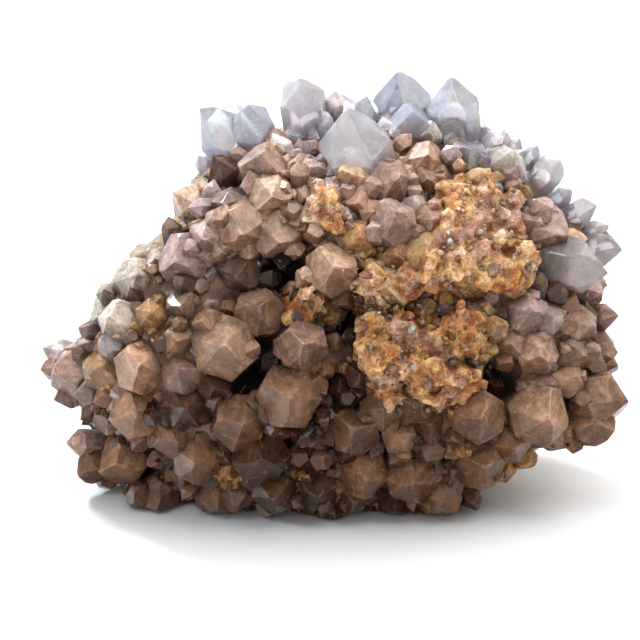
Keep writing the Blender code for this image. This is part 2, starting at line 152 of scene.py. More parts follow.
# Crystals: right, down, width (sheet units), lean to the right and lean up (parts of the
# crystal's direction as drawn), rise over the rock as a share of the width. On the crest, where
# the tip faces show, there is also the turn about the crystal's length in degrees. The kind of
# quartz comes last
CREST = (
    (226, 134, 54, -0.60, 0.55, 1.00, 0, "c"),
    (252, 128, 44, -0.10, 0.62, 0.85, 30, "c"),
    (209, 168, 26, -0.55, 0.45, 0.90, 0, "c"),
    (264, 170, 46, -0.05, 0.45, 0.60, 20, "m"),
    (303, 106, 44, -0.08, 0.52, 0.95, 60, "c"),
    (350, 142, 64, -0.20, 0.75, 0.60, 52, "c"),
    (402, 104, 52, -0.06, 0.92, 0.80, 8, "k"),
    (450, 104, 43, -0.10, 0.90, 0.80, 15, "c"),
    (408, 127, 46, 0.05, 0.50, 0.60, 35, "c"),
    (451, 131, 38, 0.10, 0.50, 0.60, 10, "g"),
    (503, 165, 44, 0.30, 0.50, 0.60, 40, "w"),
    (546, 173, 27, 0.60, 0.60, 0.80, 0, "c"),
    (582, 213, 26, 0.80, 0.45, 0.80, 25, "c"),
)
CRYSTALS = (
    # under the crest
    (422, 165, 38, 0.10, 0.30, 0.60, "m"),
    (465, 160, 37, 0.10, 0.40, 0.60, "g"),
    (425, 186, 30, 0.00, 0.10, 0.55, "m"),
    (390, 187, 45, 0.30, 0.20, 0.60, "v"),
    (352, 184, 30, 0.00, 0.15, 0.60, "p"),
    (358, 206, 26, 0.00, -0.10, 0.60, "p"),
    (312, 178, 30, -0.05, 0.25, 0.60, "v"),
    (331, 198, 28, 0.00, 0.10, 0.60, "v"),
    (297, 172, 28, -0.20, 0.35, 0.60, "v"),
    (326, 222, 26, 0.00, -0.10, 0.55, "o"),
    (273, 202, 38, 0.00, -0.05, 0.60, "p"),
    (231, 210, 32, -0.30, 0.00, 0.55, "d"),
    # the middle
    (213, 243, 38, -0.20, 0.00, 0.62, "v"),
    (188, 262, 46, -0.30, -0.05, 0.60, "v"),
    (246, 234, 44, -0.05, -0.30, 0.60, "m"),
    (280, 240, 42, 0.10, -0.35, 0.60, "m"),
    (241, 277, 38, -0.10, -0.20, 0.55, "d"),
    (331, 272, 50, 0.05, 0.10, 0.62, "p"),
    (296, 226, 30, 0.10, -0.30, 0.55, "m"),
    (262, 312, 46, 0.00, 0.22, 0.66, "m"),
    (299, 309, 30, 0.00, 0.00, 0.55, "b"),
    (324, 312, 26, 0.05, 0.00, 0.55, "b"),
    (229, 345, 53, 0.00, 0.05, 0.64, "p"),
    (304, 345, 45, 0.05, 0.00, 0.60, "v"),
    (390, 227, 42, 0.10, 0.30, 0.80, "v"),
    (426, 227, 34, 0.10, 0.10, 0.62, "m"),
    (419, 258, 42, 0.00, 0.00, 0.60, "y"),
    (357, 243, 30, 0.05, 0.10, 0.60, "o"),
    # the ochre mass
    (455, 212, 28, 0.05, 0.20, 0.60, "y"),
    (480, 226, 27, 0.10, 0.10, 0.60, "y"),
    (503, 215, 26, 0.20, 0.20, 0.60, "o"),
    (462, 246, 28, 0.05, 0.00, 0.60, "y"),
    (508, 270, 42, 0.30, 0.00, 0.62, "o"),
    (460, 280, 30, 0.10, -0.15, 0.60, "o"),
    (383, 290, 46, -0.05, 0.10, 0.60, "y"),
    (379, 345, 48, 0.00, 0.00, 0.55, "o"),
    (368, 375, 26, 0.00, -0.15, 0.60, "o"),
    (455, 336, 44, 0.05, 0.05, 0.60, "o"),
    (430, 372, 45, 0.05, -0.10, 0.58, "o"),
    (432, 394, 30, 0.10, -0.80, 0.90, "y"),
    (396, 377, 28, 0.00, -0.10, 0.60, "o"),
    # the right-hand side
    (543, 232, 46, 0.72, -0.15, 0.80, "v"),
    (570, 267, 48, 0.85, -0.20, 1.00, "g"),
    (580, 240, 34, 0.70, 0.10, 0.80, "v"),
    (600, 250, 36, 0.85, 0.00, 0.80, "g"),
    (588, 292, 27, 0.60, -0.10, 0.70, "v"),
    (520, 314, 37, 0.10, 0.10, 0.60, "v"),
    (530, 352, 39, 0.10, -0.05, 0.60, "m"),
    (505, 343, 27, -0.05, 0.00, 0.60, "m"),
    (576, 325, 37, 0.50, 0.00, 0.62, "m"),
    (568, 353, 35, 0.40, -0.05, 0.60, "m"),
    (597, 345, 32, 0.75, 0.00, 0.70, "m"),
    # the left-hand side
    (143, 279, 39, 0.10, 0.20, 0.62, "w"),
    (125, 319, 39, -0.30, 0.20, 0.62, "w"),
    (160, 316, 34, 0.00, 0.10, 0.60, "b"),
    (184, 340, 29, 0.00, 0.00, 0.62, "p"),
    (188, 307, 30, -0.10, 0.00, 0.55, "m"),
    (60, 353, 27, -0.85, 0.25, 0.90, "l"),
    (73, 374, 44, -0.75, 0.00, 0.70, "v"),
    (68, 394, 26, -0.70, -0.30, 0.80, "v"),
    # the lower left
    (111, 367, 40, -0.10, 0.10, 0.60, "b"),
    (147, 366, 47, 0.00, 0.05, 0.60, "p"),
    (187, 371, 37, -0.10, 0.25, 0.62, "v"),
    (191, 404, 41, 0.00, -0.05, 0.60, "d"),
    (219, 385, 29, 0.05, 0.00, 0.60, "d"),
    (114, 416, 31, -0.20, 0.10, 0.80, "m"),
    (141, 409, 46, 0.00, 0.10, 0.62, "p"),
    (92, 404, 26, -0.50, 0.00, 0.70, "v"),
    (178, 431, 37, 0.00, 0.10, 0.62, "m"),
    (82, 442, 25, -0.80, 0.05, 1.00, "l"),
    (91, 468, 27, -0.60, -0.45, 0.80, "m"),
    (124, 458, 52, -0.20, -0.10, 0.60, "p"),
    (200, 456, 44, 0.00, -0.10, 0.60, "m"),
    (244, 418, 49, 0.15, -0.05, 0.62, "m"),
    (291, 392, 55, 0.05, 0.05, 0.55, "p"),
    (262, 451, 48, 0.00, -0.05, 0.58, "d"),
    (232, 468, 26, 0.00, -0.15, 0.70, "o"),
    (160, 498, 42, -0.10, -0.35, 0.60, "m"),
    (219, 496, 38, 0.00, -0.40, 0.62, "m"),
    (190, 482, 26, 0.00, -0.25, 0.60, "d"),
    (276, 488, 42, 0.00, -0.30, 0.60, "d"),
    (318, 487, 38, 0.00, -0.30, 0.60, "d"),
    # the lower right
    (352, 427, 44, 0.00, 0.05, 0.62, "m"),
    (378, 406, 37, 0.05, 0.05, 0.62, "m"),
    (410, 398, 40, 0.00, -0.15, 0.60, "v"),
    (397, 433, 31, 0.00, 0.10, 0.80, "p"),
    (473, 413, 50, 0.05, -0.05, 0.60, "m"),
    (476, 461, 43, 0.10, -0.15, 0.62, "m"),
    (408, 474, 45, 0.00, -0.15, 0.66, "m"),
    (362, 470, 42, 0.00, -0.15, 0.62, "m"),
    (434, 495, 44, 0.00, -0.45, 0.70, "m"),
    (393, 500, 33, 0.00, -0.40, 0.60, "d"),
    (352, 492, 30, 0.00, -0.40, 0.60, "d"),
    (463, 490, 26, 0.10, -0.40, 0.60, "b"),
    (533, 412, 57, 0.25, -0.10, 0.62, "p"),
    (531, 385, 35, 0.20, 0.15, 0.60, "v"),
    (562, 376, 32, 0.40, 0.10, 0.62, "p"),
    (594, 397, 43, 0.82, 0.00, 1.10, "m"),
    (588, 423, 38, 0.75, -0.25, 1.00, "m"),
    (505, 441, 34, 0.20, -0.15, 0.60, "m"),
    (447, 388, 26, 0.10, -0.10, 0.60, "o"),
)

# Smaller crystals between the drawn ones and round the sides, where the crust has at least
# FILL_COVER of its depth
FILL_TRIES = 3000
FILL_COVER = 0.95
FILL_WIDTH = (8.0 * MM, 14.0 * MM)
FILL_SPACING = 1.04
FILL_RISE = (0.70, 1.00)
FILL_TILT = 0.30
FILL_LOWEST = 2.0 * MM
# The broken rim at the upper left is bare: its two ends on the elevation, the room kept past
# them, and the room between the rim's edge and the next crystal
RIM_LOW = (61.0, 342.0)
RIM_HIGH = (193.0, 174.0)
RIM_PAST = 12.0
RIM_ROOM = 8.0

# Working distances
OUTSIDE = 200.0 * MM
SITE_STEPS = 60
CUT_TOLERANCE = 0.0001 * MM
WELD = 0.02 * MM
FLOOR_BLOCK = (400.0 * MM, 400.0 * MM, 100.0 * MM)

# Small crystals that the solids leave out: the same columns, with the kind
SMALL = (
    (366, 114, 24, 0.10, 0.85, 1.00, "g"),
    (312, 127, 24, 0.00, 0.70, 0.80, "c"),
    (306, 203, 24, -0.10, 0.00, 0.60, "v"),
    (510, 242, 24, 0.20, 0.05, 0.60, "y"),
    (542, 320, 24, 0.20, 0.10, 0.90, "g"),
    (603, 317, 24, 0.85, 0.10, 0.80, "v"),
    (520, 195, 24, 0.35, 0.30, 0.60, "y"),
    (357, 374, 24, 0.05, 0.15, 0.90, "d"),
    (426, 418, 24, 0.10, -0.10, 0.60, "m"),
    (500, 468, 24, 0.15, -0.35, 0.60, "o"),
    (486, 384, 24, 0.05, 0.00, 0.50, "d"),
    (206, 170, 15, -0.35, 0.85, 1.60, "c"),
    (502, 143, 15, 0.30, 0.80, 1.00, "c"),
    (514, 148, 14, 0.40, 0.80, 1.00, "c"),
    (530, 155, 15, 0.50, 0.70, 0.80, "c"),
    (539, 162, 13, 0.50, 0.70, 0.80, "w"),
    (562, 196, 18, 0.70, 0.50, 0.80, "c"),
    (488, 193, 20, 0.20, 0.30, 0.70, "c"),
    (470, 194, 20, 0.00, 0.30, 0.60, "w"),
    (205, 195, 20, -0.50, 0.10, 0.70, "w"),
    (195, 218, 20, -0.45, 0.10, 0.70, "g"),
    (232, 310, 18, -0.10, 0.00, 0.70, "m"),
    (333, 341, 17, 0.20, 0.00, 0.80, "v"),
    (440, 307, 18, 0.00, 0.10, 0.80, "g"),
    (606, 364, 20, 0.75, -0.10, 0.80, "m"),
    (90, 348, 20, -0.50, 0.30, 0.80, "w"),
    (110, 293, 20, -0.20, 0.30, 0.60, "w"),
    (129, 499, 20, -0.30, -0.40, 0.60, "o"),
    (106, 480, 20, -0.40, -0.40, 0.60, "m"),
    (427, 431, 18, 0.00, 0.00, 0.70, "v"),
    (446, 446, 19, 0.00, 0.00, 0.60, "y"),
    (560, 431, 18, 0.35, -0.20, 0.80, "p"),
    (573, 443, 18, 0.45, -0.35, 0.70, "b"),
    (334, 107, 17, 0.10, 0.90, 1.20, "l"),
    (352, 163, 22, 0.00, 0.20, 0.60, "l"),
    (482, 138, 22, 0.30, 0.70, 0.80, "g"),
    (486, 255, 22, 0.10, 0.00, 0.60, "y"),
    (415, 338, 22, 0.00, 0.00, 0.60, "o"),
    (487, 329, 23, 0.10, 0.25, 1.30, "y"),
    (163, 262, 22, -0.20, 0.20, 0.60, "w"),
    (299, 451, 20, -0.10, 0.20, 1.20, "p"),
    (321, 455, 20, 0.10, 0.20, 1.20, "p"),
    (308, 470, 22, 0.00, 0.00, 0.70, "d"),
    (248, 500, 22, 0.00, -0.35, 0.60, "d"),
    (600, 381, 21, 0.65, 0.10, 0.80, "m"),
    (522, 456, 22, 0.30, -0.30, 0.60, "o"),
)

# Tints of the kinds, as display colours from 0 to 255: c clear lilac, k clear lilac darkened as
# painted shade, g greyish, w milky white, l lilac, v mauve, p peach, m mauve-brown, b tan with
# iron stain, d dark brown that also serves as painted shade for crystals in clefts and low down,
# o ochre, y yellow
TINTS = {
    "c": (244, 242, 252),
    "k": (209, 208, 217),
    "g": (220, 213, 216),
    "w": (216, 205, 198),
    "l": (212, 192, 196),
    "v": (178, 150, 143),
    "p": (204, 168, 146),
    "m": (172, 140, 124),
    "b": (172, 134, 102),
    "d": (118, 92, 80),
    "o": (188, 146, 116),
    "y": (208, 172, 136),
}
CLEAR_KINDS = "cgk"
# What the tints of the other kinds are multiplied by
WARMTH = np.array([0.93, 0.92, 0.87])
# How much iron stain each kind carries
STAIN = {
    "c": 0.05, "k": 0.05, "g": 0.20, "w": 0.15, "l": 0.10, "v": 0.25, "p": 0.25,
    "m": 0.35, "b": 0.60, "d": 0.35, "o": 0.78, "y": 0.70,
}
# Least and most side growths on a crystal of each kind
SIDE_GROWTHS = {
    "c": (0, 0), "k": (0, 0), "g": (1, 3), "w": (0, 3), "l": (0, 2), "v": (0, 2), "p": (0, 1),
    "m": (0, 2), "b": (2, 5), "d": (0, 2), "o": (4, 7), "y": (4, 7),
}

# The same for the cloudy crystals under the crest
CREST_GROWTHS = (3, 6)

# Ochre ground: right, down, spread (sheet units), strength
OCHRE = (
    (470, 240, 46, 1.0),
    (385, 295, 34, 0.9),
    (428, 300, 30, 1.0),
    (395, 350, 36, 1.0),
    (440, 375, 30, 0.9),
    (455, 330, 26, 0.9),
    (500, 270, 28, 0.6),
    (328, 218, 18, 0.8),
    (300, 310, 26, 0.6),
    (222, 236, 13, 0.8),
    (160, 318, 18, 0.5),
    (449, 446, 12, 0.8),
    (232, 468, 14, 0.7),
    (548, 455, 22, 0.8),
    (480, 492, 22, 0.8),
    (430, 130, 22, 0.4),
    (118, 278, 20, 0.5),
)

# Deep clefts that stay open, with painted shade in them: right, down, spread (sheet units)
CLEFTS = (
    (286, 272, 24),
    (266, 350, 20),
    (250, 378, 18),
    (348, 325, 16),
    (395, 305, 12),
    (490, 380, 18),
    (145, 440, 12),
    (152, 462, 14),
    (238, 188, 14),
    (381, 446, 9),
    (408, 196, 9),
    (542, 283, 14),
    (291, 432, 12),
    (335, 387, 14),
    (440, 473, 9),
    (560, 400, 9),
)

# Bare width of the rim over what the crystals there need
RIM_MARGIN = 3.0 * MM
# Painted shade: a duller, browner middle of the front: right, down, half width, half height, and
# how much of each colour is lost
DUSK = (300.0, 392.0, 130.0, 75.0)
DUSK_LOSS = (0.32, 0.41, 0.49)

# Hollow in the ochre mass: right, down, half width, half height (sheet units)
HOLLOW = (427, 306, 30, 20)

# Rounding of a crystal's edges, in percent of the edges beside
EDGE_SHARE = (5.0, 14.0)
EDGE_SEGMENTS = 3
SMALL_EDGE_SEGMENTS = 2
BED_DETAIL = 6
# Middling crystals between and under the main ones
UNDER_TRIES = 14000
UNDER_WIDTH = (4.0 * MM, 8.5 * MM)
UNDER_RISE = (0.45, 0.95)
UNDER_TILT = 0.35
UNDER_SPACING = 0.50
# Painted shade: how much darker the middling crystals get toward the bottom
LESSER_SHADE = np.array([0.24, 0.31, 0.36])
DRUSE_COUNT = 5000
SUGAR_COUNT = 420
MASS_LUMPS = 1500
# Crumbs of the mass sit mostly no higher than this over the crust
MASS_RISE = 3.0 * MM
MASS_VOXEL = 0.5 * MM
# How fast each colour of the mass falls off in its pits: painted shade, with painted light on the
# crags
PIT_SHADE = (1.0, 1.45, 1.8)
ROCK_CUTS = 3

def smooth_step(value):
    value = min(max(value, 0.0), 1.0)
    return value * value * (3.0 - 2.0 * value)


def rim_radius(angle):
    """The rock's radius as drawn, at an angle from the right-hand side."""
    steps = len(RIM_MM)
    place = angle / math.tau * steps
    first = math.floor(place)
    blend = smooth_step(place - first)
    low = RIM_MM[first % steps]
    high = RIM_MM[(first + 1) % steps]
    return (low + (high - low) * blend) * MM


def body_radius(direction):
    """The rock's radius from its middle in a direction."""
    across = direction.dot(RIGHT)
    up = direction.dot(UP)
    toward = direction.dot(TOWARD)
    depth = FRONT_DEPTH if toward > 0.0 else BACK_DEPTH
    flat = math.hypot(across, up) / rim_radius(math.atan2(up, across))
    deep = abs(toward) / depth
    radius = (flat ** BODY_POWER + deep ** BODY_POWER) ** (-1.0 / BODY_POWER)
    facing = smooth_step(toward / RELIEF_FADE)
    plain = radius
    for right, down, spread, height in RELIEF:
        off_right = across * plain / SHEET_UNIT - (right - MIDDLE_RIGHT)
        off_down = -up * plain / SHEET_UNIT - (down - MIDDLE_DOWN)
        share = (off_right ** 2 + off_down ** 2) / (spread * spread)
        radius += height * MM * math.exp(-share) * facing
    point = direction * plain
    radius += ROCK_NOISE * noise.noise(point * ROCK_NOISE_SCALE)
    for normal, distance in BREAKS:
        facing_break = direction.dot(Vector(normal).normalized())
        if facing_break > 0.0:
            radius = min(radius, distance * MM / facing_break)
    return radius


def crust_radius(direction):
    """The crust's radius: over the rock where crystals grew and under it elsewhere."""
    angle = math.degrees(math.atan2(direction.dot(UP), direction.dot(RIGHT))) % 360.0
    edge = CRUST_EDGE
    for middle, spread, height in BARE_RIMS:
        edge = max(edge, CRUST_EDGE + height * math.exp(-((angle - middle) / spread) ** 2))
    cover = smooth_step((direction.dot(TOWARD) - edge) / EDGE_RAMP + 0.5)
    radius = body_radius(direction)
    depth = cover * (CRUST_DEPTH + CRUST_SINK) - CRUST_SINK
    depth += cover * CRUST_NOISE * noise.noise(direction * radius * CRUST_NOISE_SCALE)
    return radius + depth


def is_covered(direction, least=0.5):
    return crust_radius(direction) > body_radius(direction) + least * CRUST_DEPTH


def lump(radius_of, detail=ROCK_DETAIL):
    """A closed lump round the body's middle with its surface at radius_of(direction)."""
    source = bmesh.new()
    bmesh.ops.create_icosphere(source, subdivisions=detail, radius=1.0)
    for vertex in source.verts:
        direction = vertex.co.normalized()
        vertex.co = BODY_MIDDLE + direction * radius_of(direction)
    return source


def quartz_point(width, rise, root, chance):
    """One crystal: a six-sided prism cut to its unequal tip faces, its length along +Z."""
    source = bmesh.new()
    half = 0.5 * width
    bmesh.ops.create_cone(
        source,
        segments=6,
        cap_ends=True,
        radius1=half * chance.uniform(*PRISM_FOOT),
        radius2=half * PRISM_SHOULDER,
        depth=rise + root + width,
    )
    lift = 0.5 * (rise + root + width) - root
    across = chance.uniform(*PRISM_SQUASH)
    along = chance.uniform(*PRISM_SQUASH)
    place = Matrix.Translation((0.0, 0.0, lift)) @ Matrix.Diagonal((across, along, 1.0, 1.0))
    bmesh.ops.transform(source, matrix=place, verts=source.verts)
    for side in range(6):
        angle = math.radians(60.0 * side)
        slope = Vector((math.cos(angle), math.sin(angle), 0.0)) * math.sin(TIP_NORMAL)
        normal = slope + Vector((0.0, 0.0, math.cos(TIP_NORMAL)))
        reach = LARGE_FACE if side % 2 == 0 else SMALL_FACE
        apex = rise + width * chance.uniform(*reach)
        cut = bmesh.ops.bisect_plane(
            source,
            geom=source.verts[:] + source.edges[:] + source.faces[:],
            dist=CUT_TOLERANCE,
            plane_co=(0.0, 0.0, apex),
            plane_no=normal,
            clear_outer=True,
        )
        loop = [part for part in cut["geom_cut"] if isinstance(part, bmesh.types.BMEdge)]
        if loop:
            bmesh.ops.contextual_create(source, geom=loop)
    return source


def turned_to(axis, spin):
    """The rotation that takes +Z to the axis, after a spin about it."""
    return axis.to_track_quat("Z", "Y").to_matrix().to_4x4() @ Matrix.Rotation(spin, 4, "Z")


def sheet_point(right, down):
    across = (right - SHEET_MIDDLE) * SHEET_UNIT
    up = (SHEET_GROUND - down) * SHEET_UNIT + GROUND_OFFSET
    return RIGHT * across + UP * up


def find_site(tree, right, down):
    """The rock's surface behind a place on the sheet. Past the rock's outline it is the depth
    of the nearest rock toward the middle, kept at the drawn place."""
    middle = BODY_MIDDLE - TOWARD * BODY_MIDDLE.dot(TOWARD)
    wanted = sheet_point(right, down)
    for step in range(SITE_STEPS):
        tried = wanted.lerp(middle, step / SITE_STEPS)
        hit = tree.ray_cast(tried + TOWARD * OUTSIDE, -TOWARD)
        if hit[0] is not None:
            return hit[0] + (wanted - tried)
    return wanted


def placed_crystal(tree, row, spin, kind):
    """Foot, direction, width, rise, spin and kind of a crystal from its row."""
    right, down, size, lean_right, lean_up, rise_share = row
    width = size * SHEET_UNIT * FULLNESS
    rise = size * SHEET_UNIT * (rise_share + PRISM_SHARE)
    lean = lean_right ** 2 + lean_up ** 2
    toward = math.sqrt(max(1.0 - lean, LEAST_TOWARD ** 2))
    axis = (RIGHT * lean_right + UP * lean_up + TOWARD * toward).normalized()
    back = 0.5 * rise / SHEET_UNIT
    foot = find_site(tree, right - lean_right * back, down + lean_up * back)
    return foot, axis, width, rise, spin, kind


def drawn_crystals(tree, chance):
    placed = []
    for *row, turn, kind in CREST:
        placed.append(placed_crystal(tree, row, math.radians(turn), kind))
    for *row, kind in CRYSTALS:
        placed.append(placed_crystal(tree, row, chance.random() * math.tau, kind))
    return placed


def sheet_place(point):
    """Where a point is drawn on the elevation."""
    right = SHEET_MIDDLE + point.dot(RIGHT) / SHEET_UNIT
    down = SHEET_GROUND - (point.dot(UP) - GROUND_OFFSET) / SHEET_UNIT
    return right, down


def is_on_rim(point, half_width):
    """Whether something of this half width reaches the bare rim."""
    right, down = sheet_place(point)
    across = RIM_HIGH[0] - RIM_LOW[0]
    along = RIM_HIGH[1] - RIM_LOW[1]
    length = math.hypot(across, along)
    from_right = right - RIM_LOW[0]
    from_down = down - RIM_LOW[1]
    travelled = (from_right * across + from_down * along) / length
    inward = (from_down * across - from_right * along) / length
    in_reach = -RIM_PAST < travelled < length + RIM_PAST
    return in_reach and inward < half_width / SHEET_UNIT + RIM_ROOM


def filling_crystals(tree, placed, chance):
    """Smaller crystals wherever the crust still has room for them."""
    added = []
    golden = math.pi * (3.0 - math.sqrt(5.0))
    for index in range(FILL_TRIES):
        height = 1.0 - 2.0 * (index + 0.5) / FILL_TRIES
        reach = math.sqrt(1.0 - height * height)
        turn = index * golden
        direction = Vector((reach * math.cos(turn), reach * math.sin(turn), height))
        width = chance.uniform(*FILL_WIDTH)
        rise = width * chance.uniform(*FILL_RISE)
        tilt = Vector([chance.uniform(-FILL_TILT, FILL_TILT) for _ in range(3)])
        spin = chance.random() * math.tau
        if not is_covered(direction, FILL_COVER):
            continue
        hit = tree.ray_cast(BODY_MIDDLE, direction)
        if hit[0] is None or hit[0].z < FILL_LOWEST or is_on_rim(hit[0], 0.5 * width):
            continue
        near = False
        for foot, axis, other_width, other_rise, _, _ in placed + added:
            body = foot + axis * min(0.5 * other_rise, 0.3 * other_width)
            if (body - hit[0]).length < FILL_SPACING * 0.5 * (width + other_width):
                near = True
                break
        if near:
            continue
        added.append((hit[0], (hit[1] + tilt).normalized(), width, rise, spin, ""))
    return added



def linear(colour):
    """A display colour from 0 to 255 as a linear one."""
    out = []
    for part in colour:
        share = part / 255.0
        out.append(share / 12.92 if share <= 0.04045 else ((share + 0.055) / 1.055) ** 2.4)
    return np.array(out)


LINEAR = {kind: linear(tint) for kind, tint in TINTS.items()}


def ochre_at(point):
    """Strength of the ochre ground at a point of the front."""
    if (point - BODY_MIDDLE).dot(TOWARD) < -0.005:
        return 0.10
    right, down = sheet_place(point)
    total = 0.0
    for at_right, at_down, spread, strength in OCHRE:
        off = (right - at_right) ** 2 + (down - at_down) ** 2
        total = max(total, strength * math.exp(-off / (spread * spread)))
    return total


def rim_at(point):
    """Whether a point is on the bare rim, with a ragged edge."""
    ragged = RIM_MARGIN * (1.3 + 2.2 * noise.noise(point * 140.0))
    return 1.0 if is_on_rim(point, ragged) else 0.0


def cleft_at(point):
    """How deep in a dark cleft a point of the front is, from 0 to 1."""
    if (point - BODY_MIDDLE).dot(TOWARD) < -0.005:
        return 0.0
    right, down = sheet_place(point)
    deepest = 0.0
    for at_right, at_down, spread in CLEFTS:
        off = (right - at_right) ** 2 + (down - at_down) ** 2
        deepest = max(deepest, math.exp(-off / (spread * spread)))
    return deepest


class Gather:
    """Many shapes gathered into one mesh, with a tint, a rise and a stain at each point, and
    which way up each face is."""

    def __init__(self):
        self.points = []
        self.faces = []
        self.tints = []
        self.rises = []
        self.stains = []
        self.edges = []
        self.count = 0

    def add(self, points, faces, tint, rises, stain, edge_flags=None):
        self.points.append(points)
        self.faces.extend([[i + self.count for i in face] for face in faces])
        self.tints.append(np.tile(tint, (len(points), 1)))
        self.rises.append(rises)
        self.stains.append(np.full(len(points), stain))
        self.edges.extend(edge_flags if edge_flags is not None else [0.0] * len(faces))
        self.count += len(points)

    def build(self, name, material):
        mesh = bpy.data.meshes.new(name)
        points = np.concatenate(self.points)
        mesh.from_pydata(points.tolist(), [], self.faces)
        tints = np.concatenate(self.tints)
        colours = np.concatenate([tints, np.ones((len(tints), 1))], axis=1)
        layer = mesh.attributes.new("tint", "FLOAT_COLOR", "POINT")
        layer.data.foreach_set("color", colours.astype(np.float32).ravel())
        layer = mesh.attributes.new("rise", "FLOAT", "POINT")
        layer.data.foreach_set("value", np.concatenate(self.rises).astype(np.float32))
        layer = mesh.attributes.new("stain", "FLOAT", "POINT")
        layer.data.foreach_set("value", np.concatenate(self.stains).astype(np.float32))
        layer = mesh.attributes.new("edge", "FLOAT", "FACE")
        layer.data.foreach_set("value", np.array(self.edges, dtype=np.float32))
        mesh.polygons.foreach_set("use_smooth", np.array(self.edges) > 0.5)
        mesh.materials.append(material)
        mesh.update()
        layer = mesh.attributes.new("upward", "FLOAT", "FACE")
        upward = np.array([face.normal.z for face in mesh.polygons], dtype=np.float32)
        layer.data.foreach_set("value", upward)
        item = bpy.data.objects.new(name, mesh)
        bpy.context.scene.collection.objects.link(item)
        return item


def bevelled(source, share, segments):
    """Rounds a crystal's edges a little, and says which faces are the rounded edges."""
    plain = bmesh.ops.bevel(
        source,
        geom=source.edges[:],
        offset=share,
        offset_type="PERCENT",
        segments=segments,
        profile=0.6,
        affect="EDGES",
        clamp_overlap=True,
    )
    return set(plain["faces"])


def as_arrays(source, marked=()):
    """A bmesh's points, faces and marks."""
    source.verts.index_update()
    points = np.array([vertex.co[:] for vertex in source.verts])
    faces = [[vertex.index for vertex in face.verts] for face in source.faces]
    marks = [1.0 if face in marked else 0.0 for face in source.faces]
    return points, faces, marks


def put(points, place):
    """Points moved by a 4 by 4 matrix."""
    matrix = np.array(place)
    return points @ matrix[:3, :3].T + matrix[:3, 3]


def cut_at_floor(source, place):
    """Takes off what of a placed crystal would be under the ground."""
    if min((place @ vertex.co).z for vertex in source.verts) > FLOOR_GAP:
        return
    bmesh.ops.bisect_plane(
        source,
        geom=source.verts[:] + source.edges[:] + source.faces[:],
        dist=CUT_TOLERANCE,
        plane_co=place.inverted() @ Vector((0.0, 0.0, FLOOR_GAP)),
        plane_no=place.to_3x3().transposed() @ Vector((0.0, 0.0, 1.0)),
        clear_inner=True,
    )
    bmesh.ops.holes_fill(source, edges=[edge for edge in source.edges if edge.is_boundary])


def grow(gather, place, width, rise, root, tint, stain, chance, segments=EDGE_SEGMENTS):
    """One bevelled crystal added to a gather."""
    one = quartz_point(width, rise, root, chance)
    mark = one.faces.layers.int.new("rounded")
    bmesh.ops.recalc_face_normals(one, faces=one.faces)
    for face in bevelled(one, chance.uniform(*EDGE_SHARE), segments):
        face[mark] = 1
    cut_at_floor(one, place)
    if len(one.faces) > 3:
        marked = {face for face in one.faces if face[mark]}
        points, faces, marks = as_arrays(one, marked)
        rises = np.clip(points[:, 2] / max(rise, 1e-6), -0.5, 1.2)
        gather.add(put(points, place), faces, tint, rises, stain, marks)
    one.free()


def zone_light_and_shade(point):
    """Paler toward the crest and the right-hand side, partly the crystals' own paler tone and
    partly painted light; darker and browner toward the ground as painted shade.
    """
    right, down = sheet_place(point)
    low = smooth_step((down - 330.0) / 130.0)
    high = 1.0 - smooth_step((down - 180.0) / 130.0)
    side = smooth_step((right - 470.0) / 60.0) * (1.0 - 0.5 * low)
    brown = 1.0 - low * np.array([0.26, 0.37, 0.48])
    at_right, at_down, half_width, half_height = DUSK
    off = ((right - at_right) / half_width) ** 2 + ((down - at_down) / half_height) ** 2
    brown *= 1.0 - math.exp(-off) * np.array(DUSK_LOSS)
    return brown * (1.0 + 0.36 * max(high, 0.95 * side))


def lowness(point):
    """From 0 on the crest to 1 below it."""
    return smooth_step((sheet_place(point)[1] - 170.0) / 130.0)


def varied(kind, look, point):
    """A kind's tint with a little variation, as it is at a point."""
    bright = look.uniform(0.86, 1.14)
    warm = look.uniform(-0.05, 0.05)
    tint = LINEAR[kind] * bright * np.array([1.0 + warm, 1.0, 1.0 - warm])
    # Painted shade: darker in the clefts
    tint *= 1.0 - cleft_at(point) * np.array([0.50, 0.58, 0.62])
    if kind in CLEAR_KINDS:
        return tint
    # Painted light toward the crest and the right, painted shade toward the ground
    return tint * zone_light_and_shade(point) * WARMTH


def kind_for(point, look):
    """The kind of an undrawn crystal, from where it is."""
    right, down = sheet_place(point)
    if look.random() < ochre_at(point):
        return look.choice("ooyb")
    # Painted shade: crystals in clefts mostly take the dark kind
    if cleft_at(point) > 0.2:
        return look.choice("dmvd")
    if down < 150:
        return look.choice("cgglw")
    if down < 200:
        return look.choice("glmvvp")
    if right < 130:
        return look.choice("wgmvp")
    # Painted shade: low crystals mostly take the dark kind
    if down > 400:
        return look.choice("dmmdv")
    return look.choice("mvmpdl")


def small_crystals(tree, chance):
    placed = []
    for *row, kind in SMALL:
        placed.append(placed_crystal(tree, row, chance.random() * math.tau, kind))
    return placed


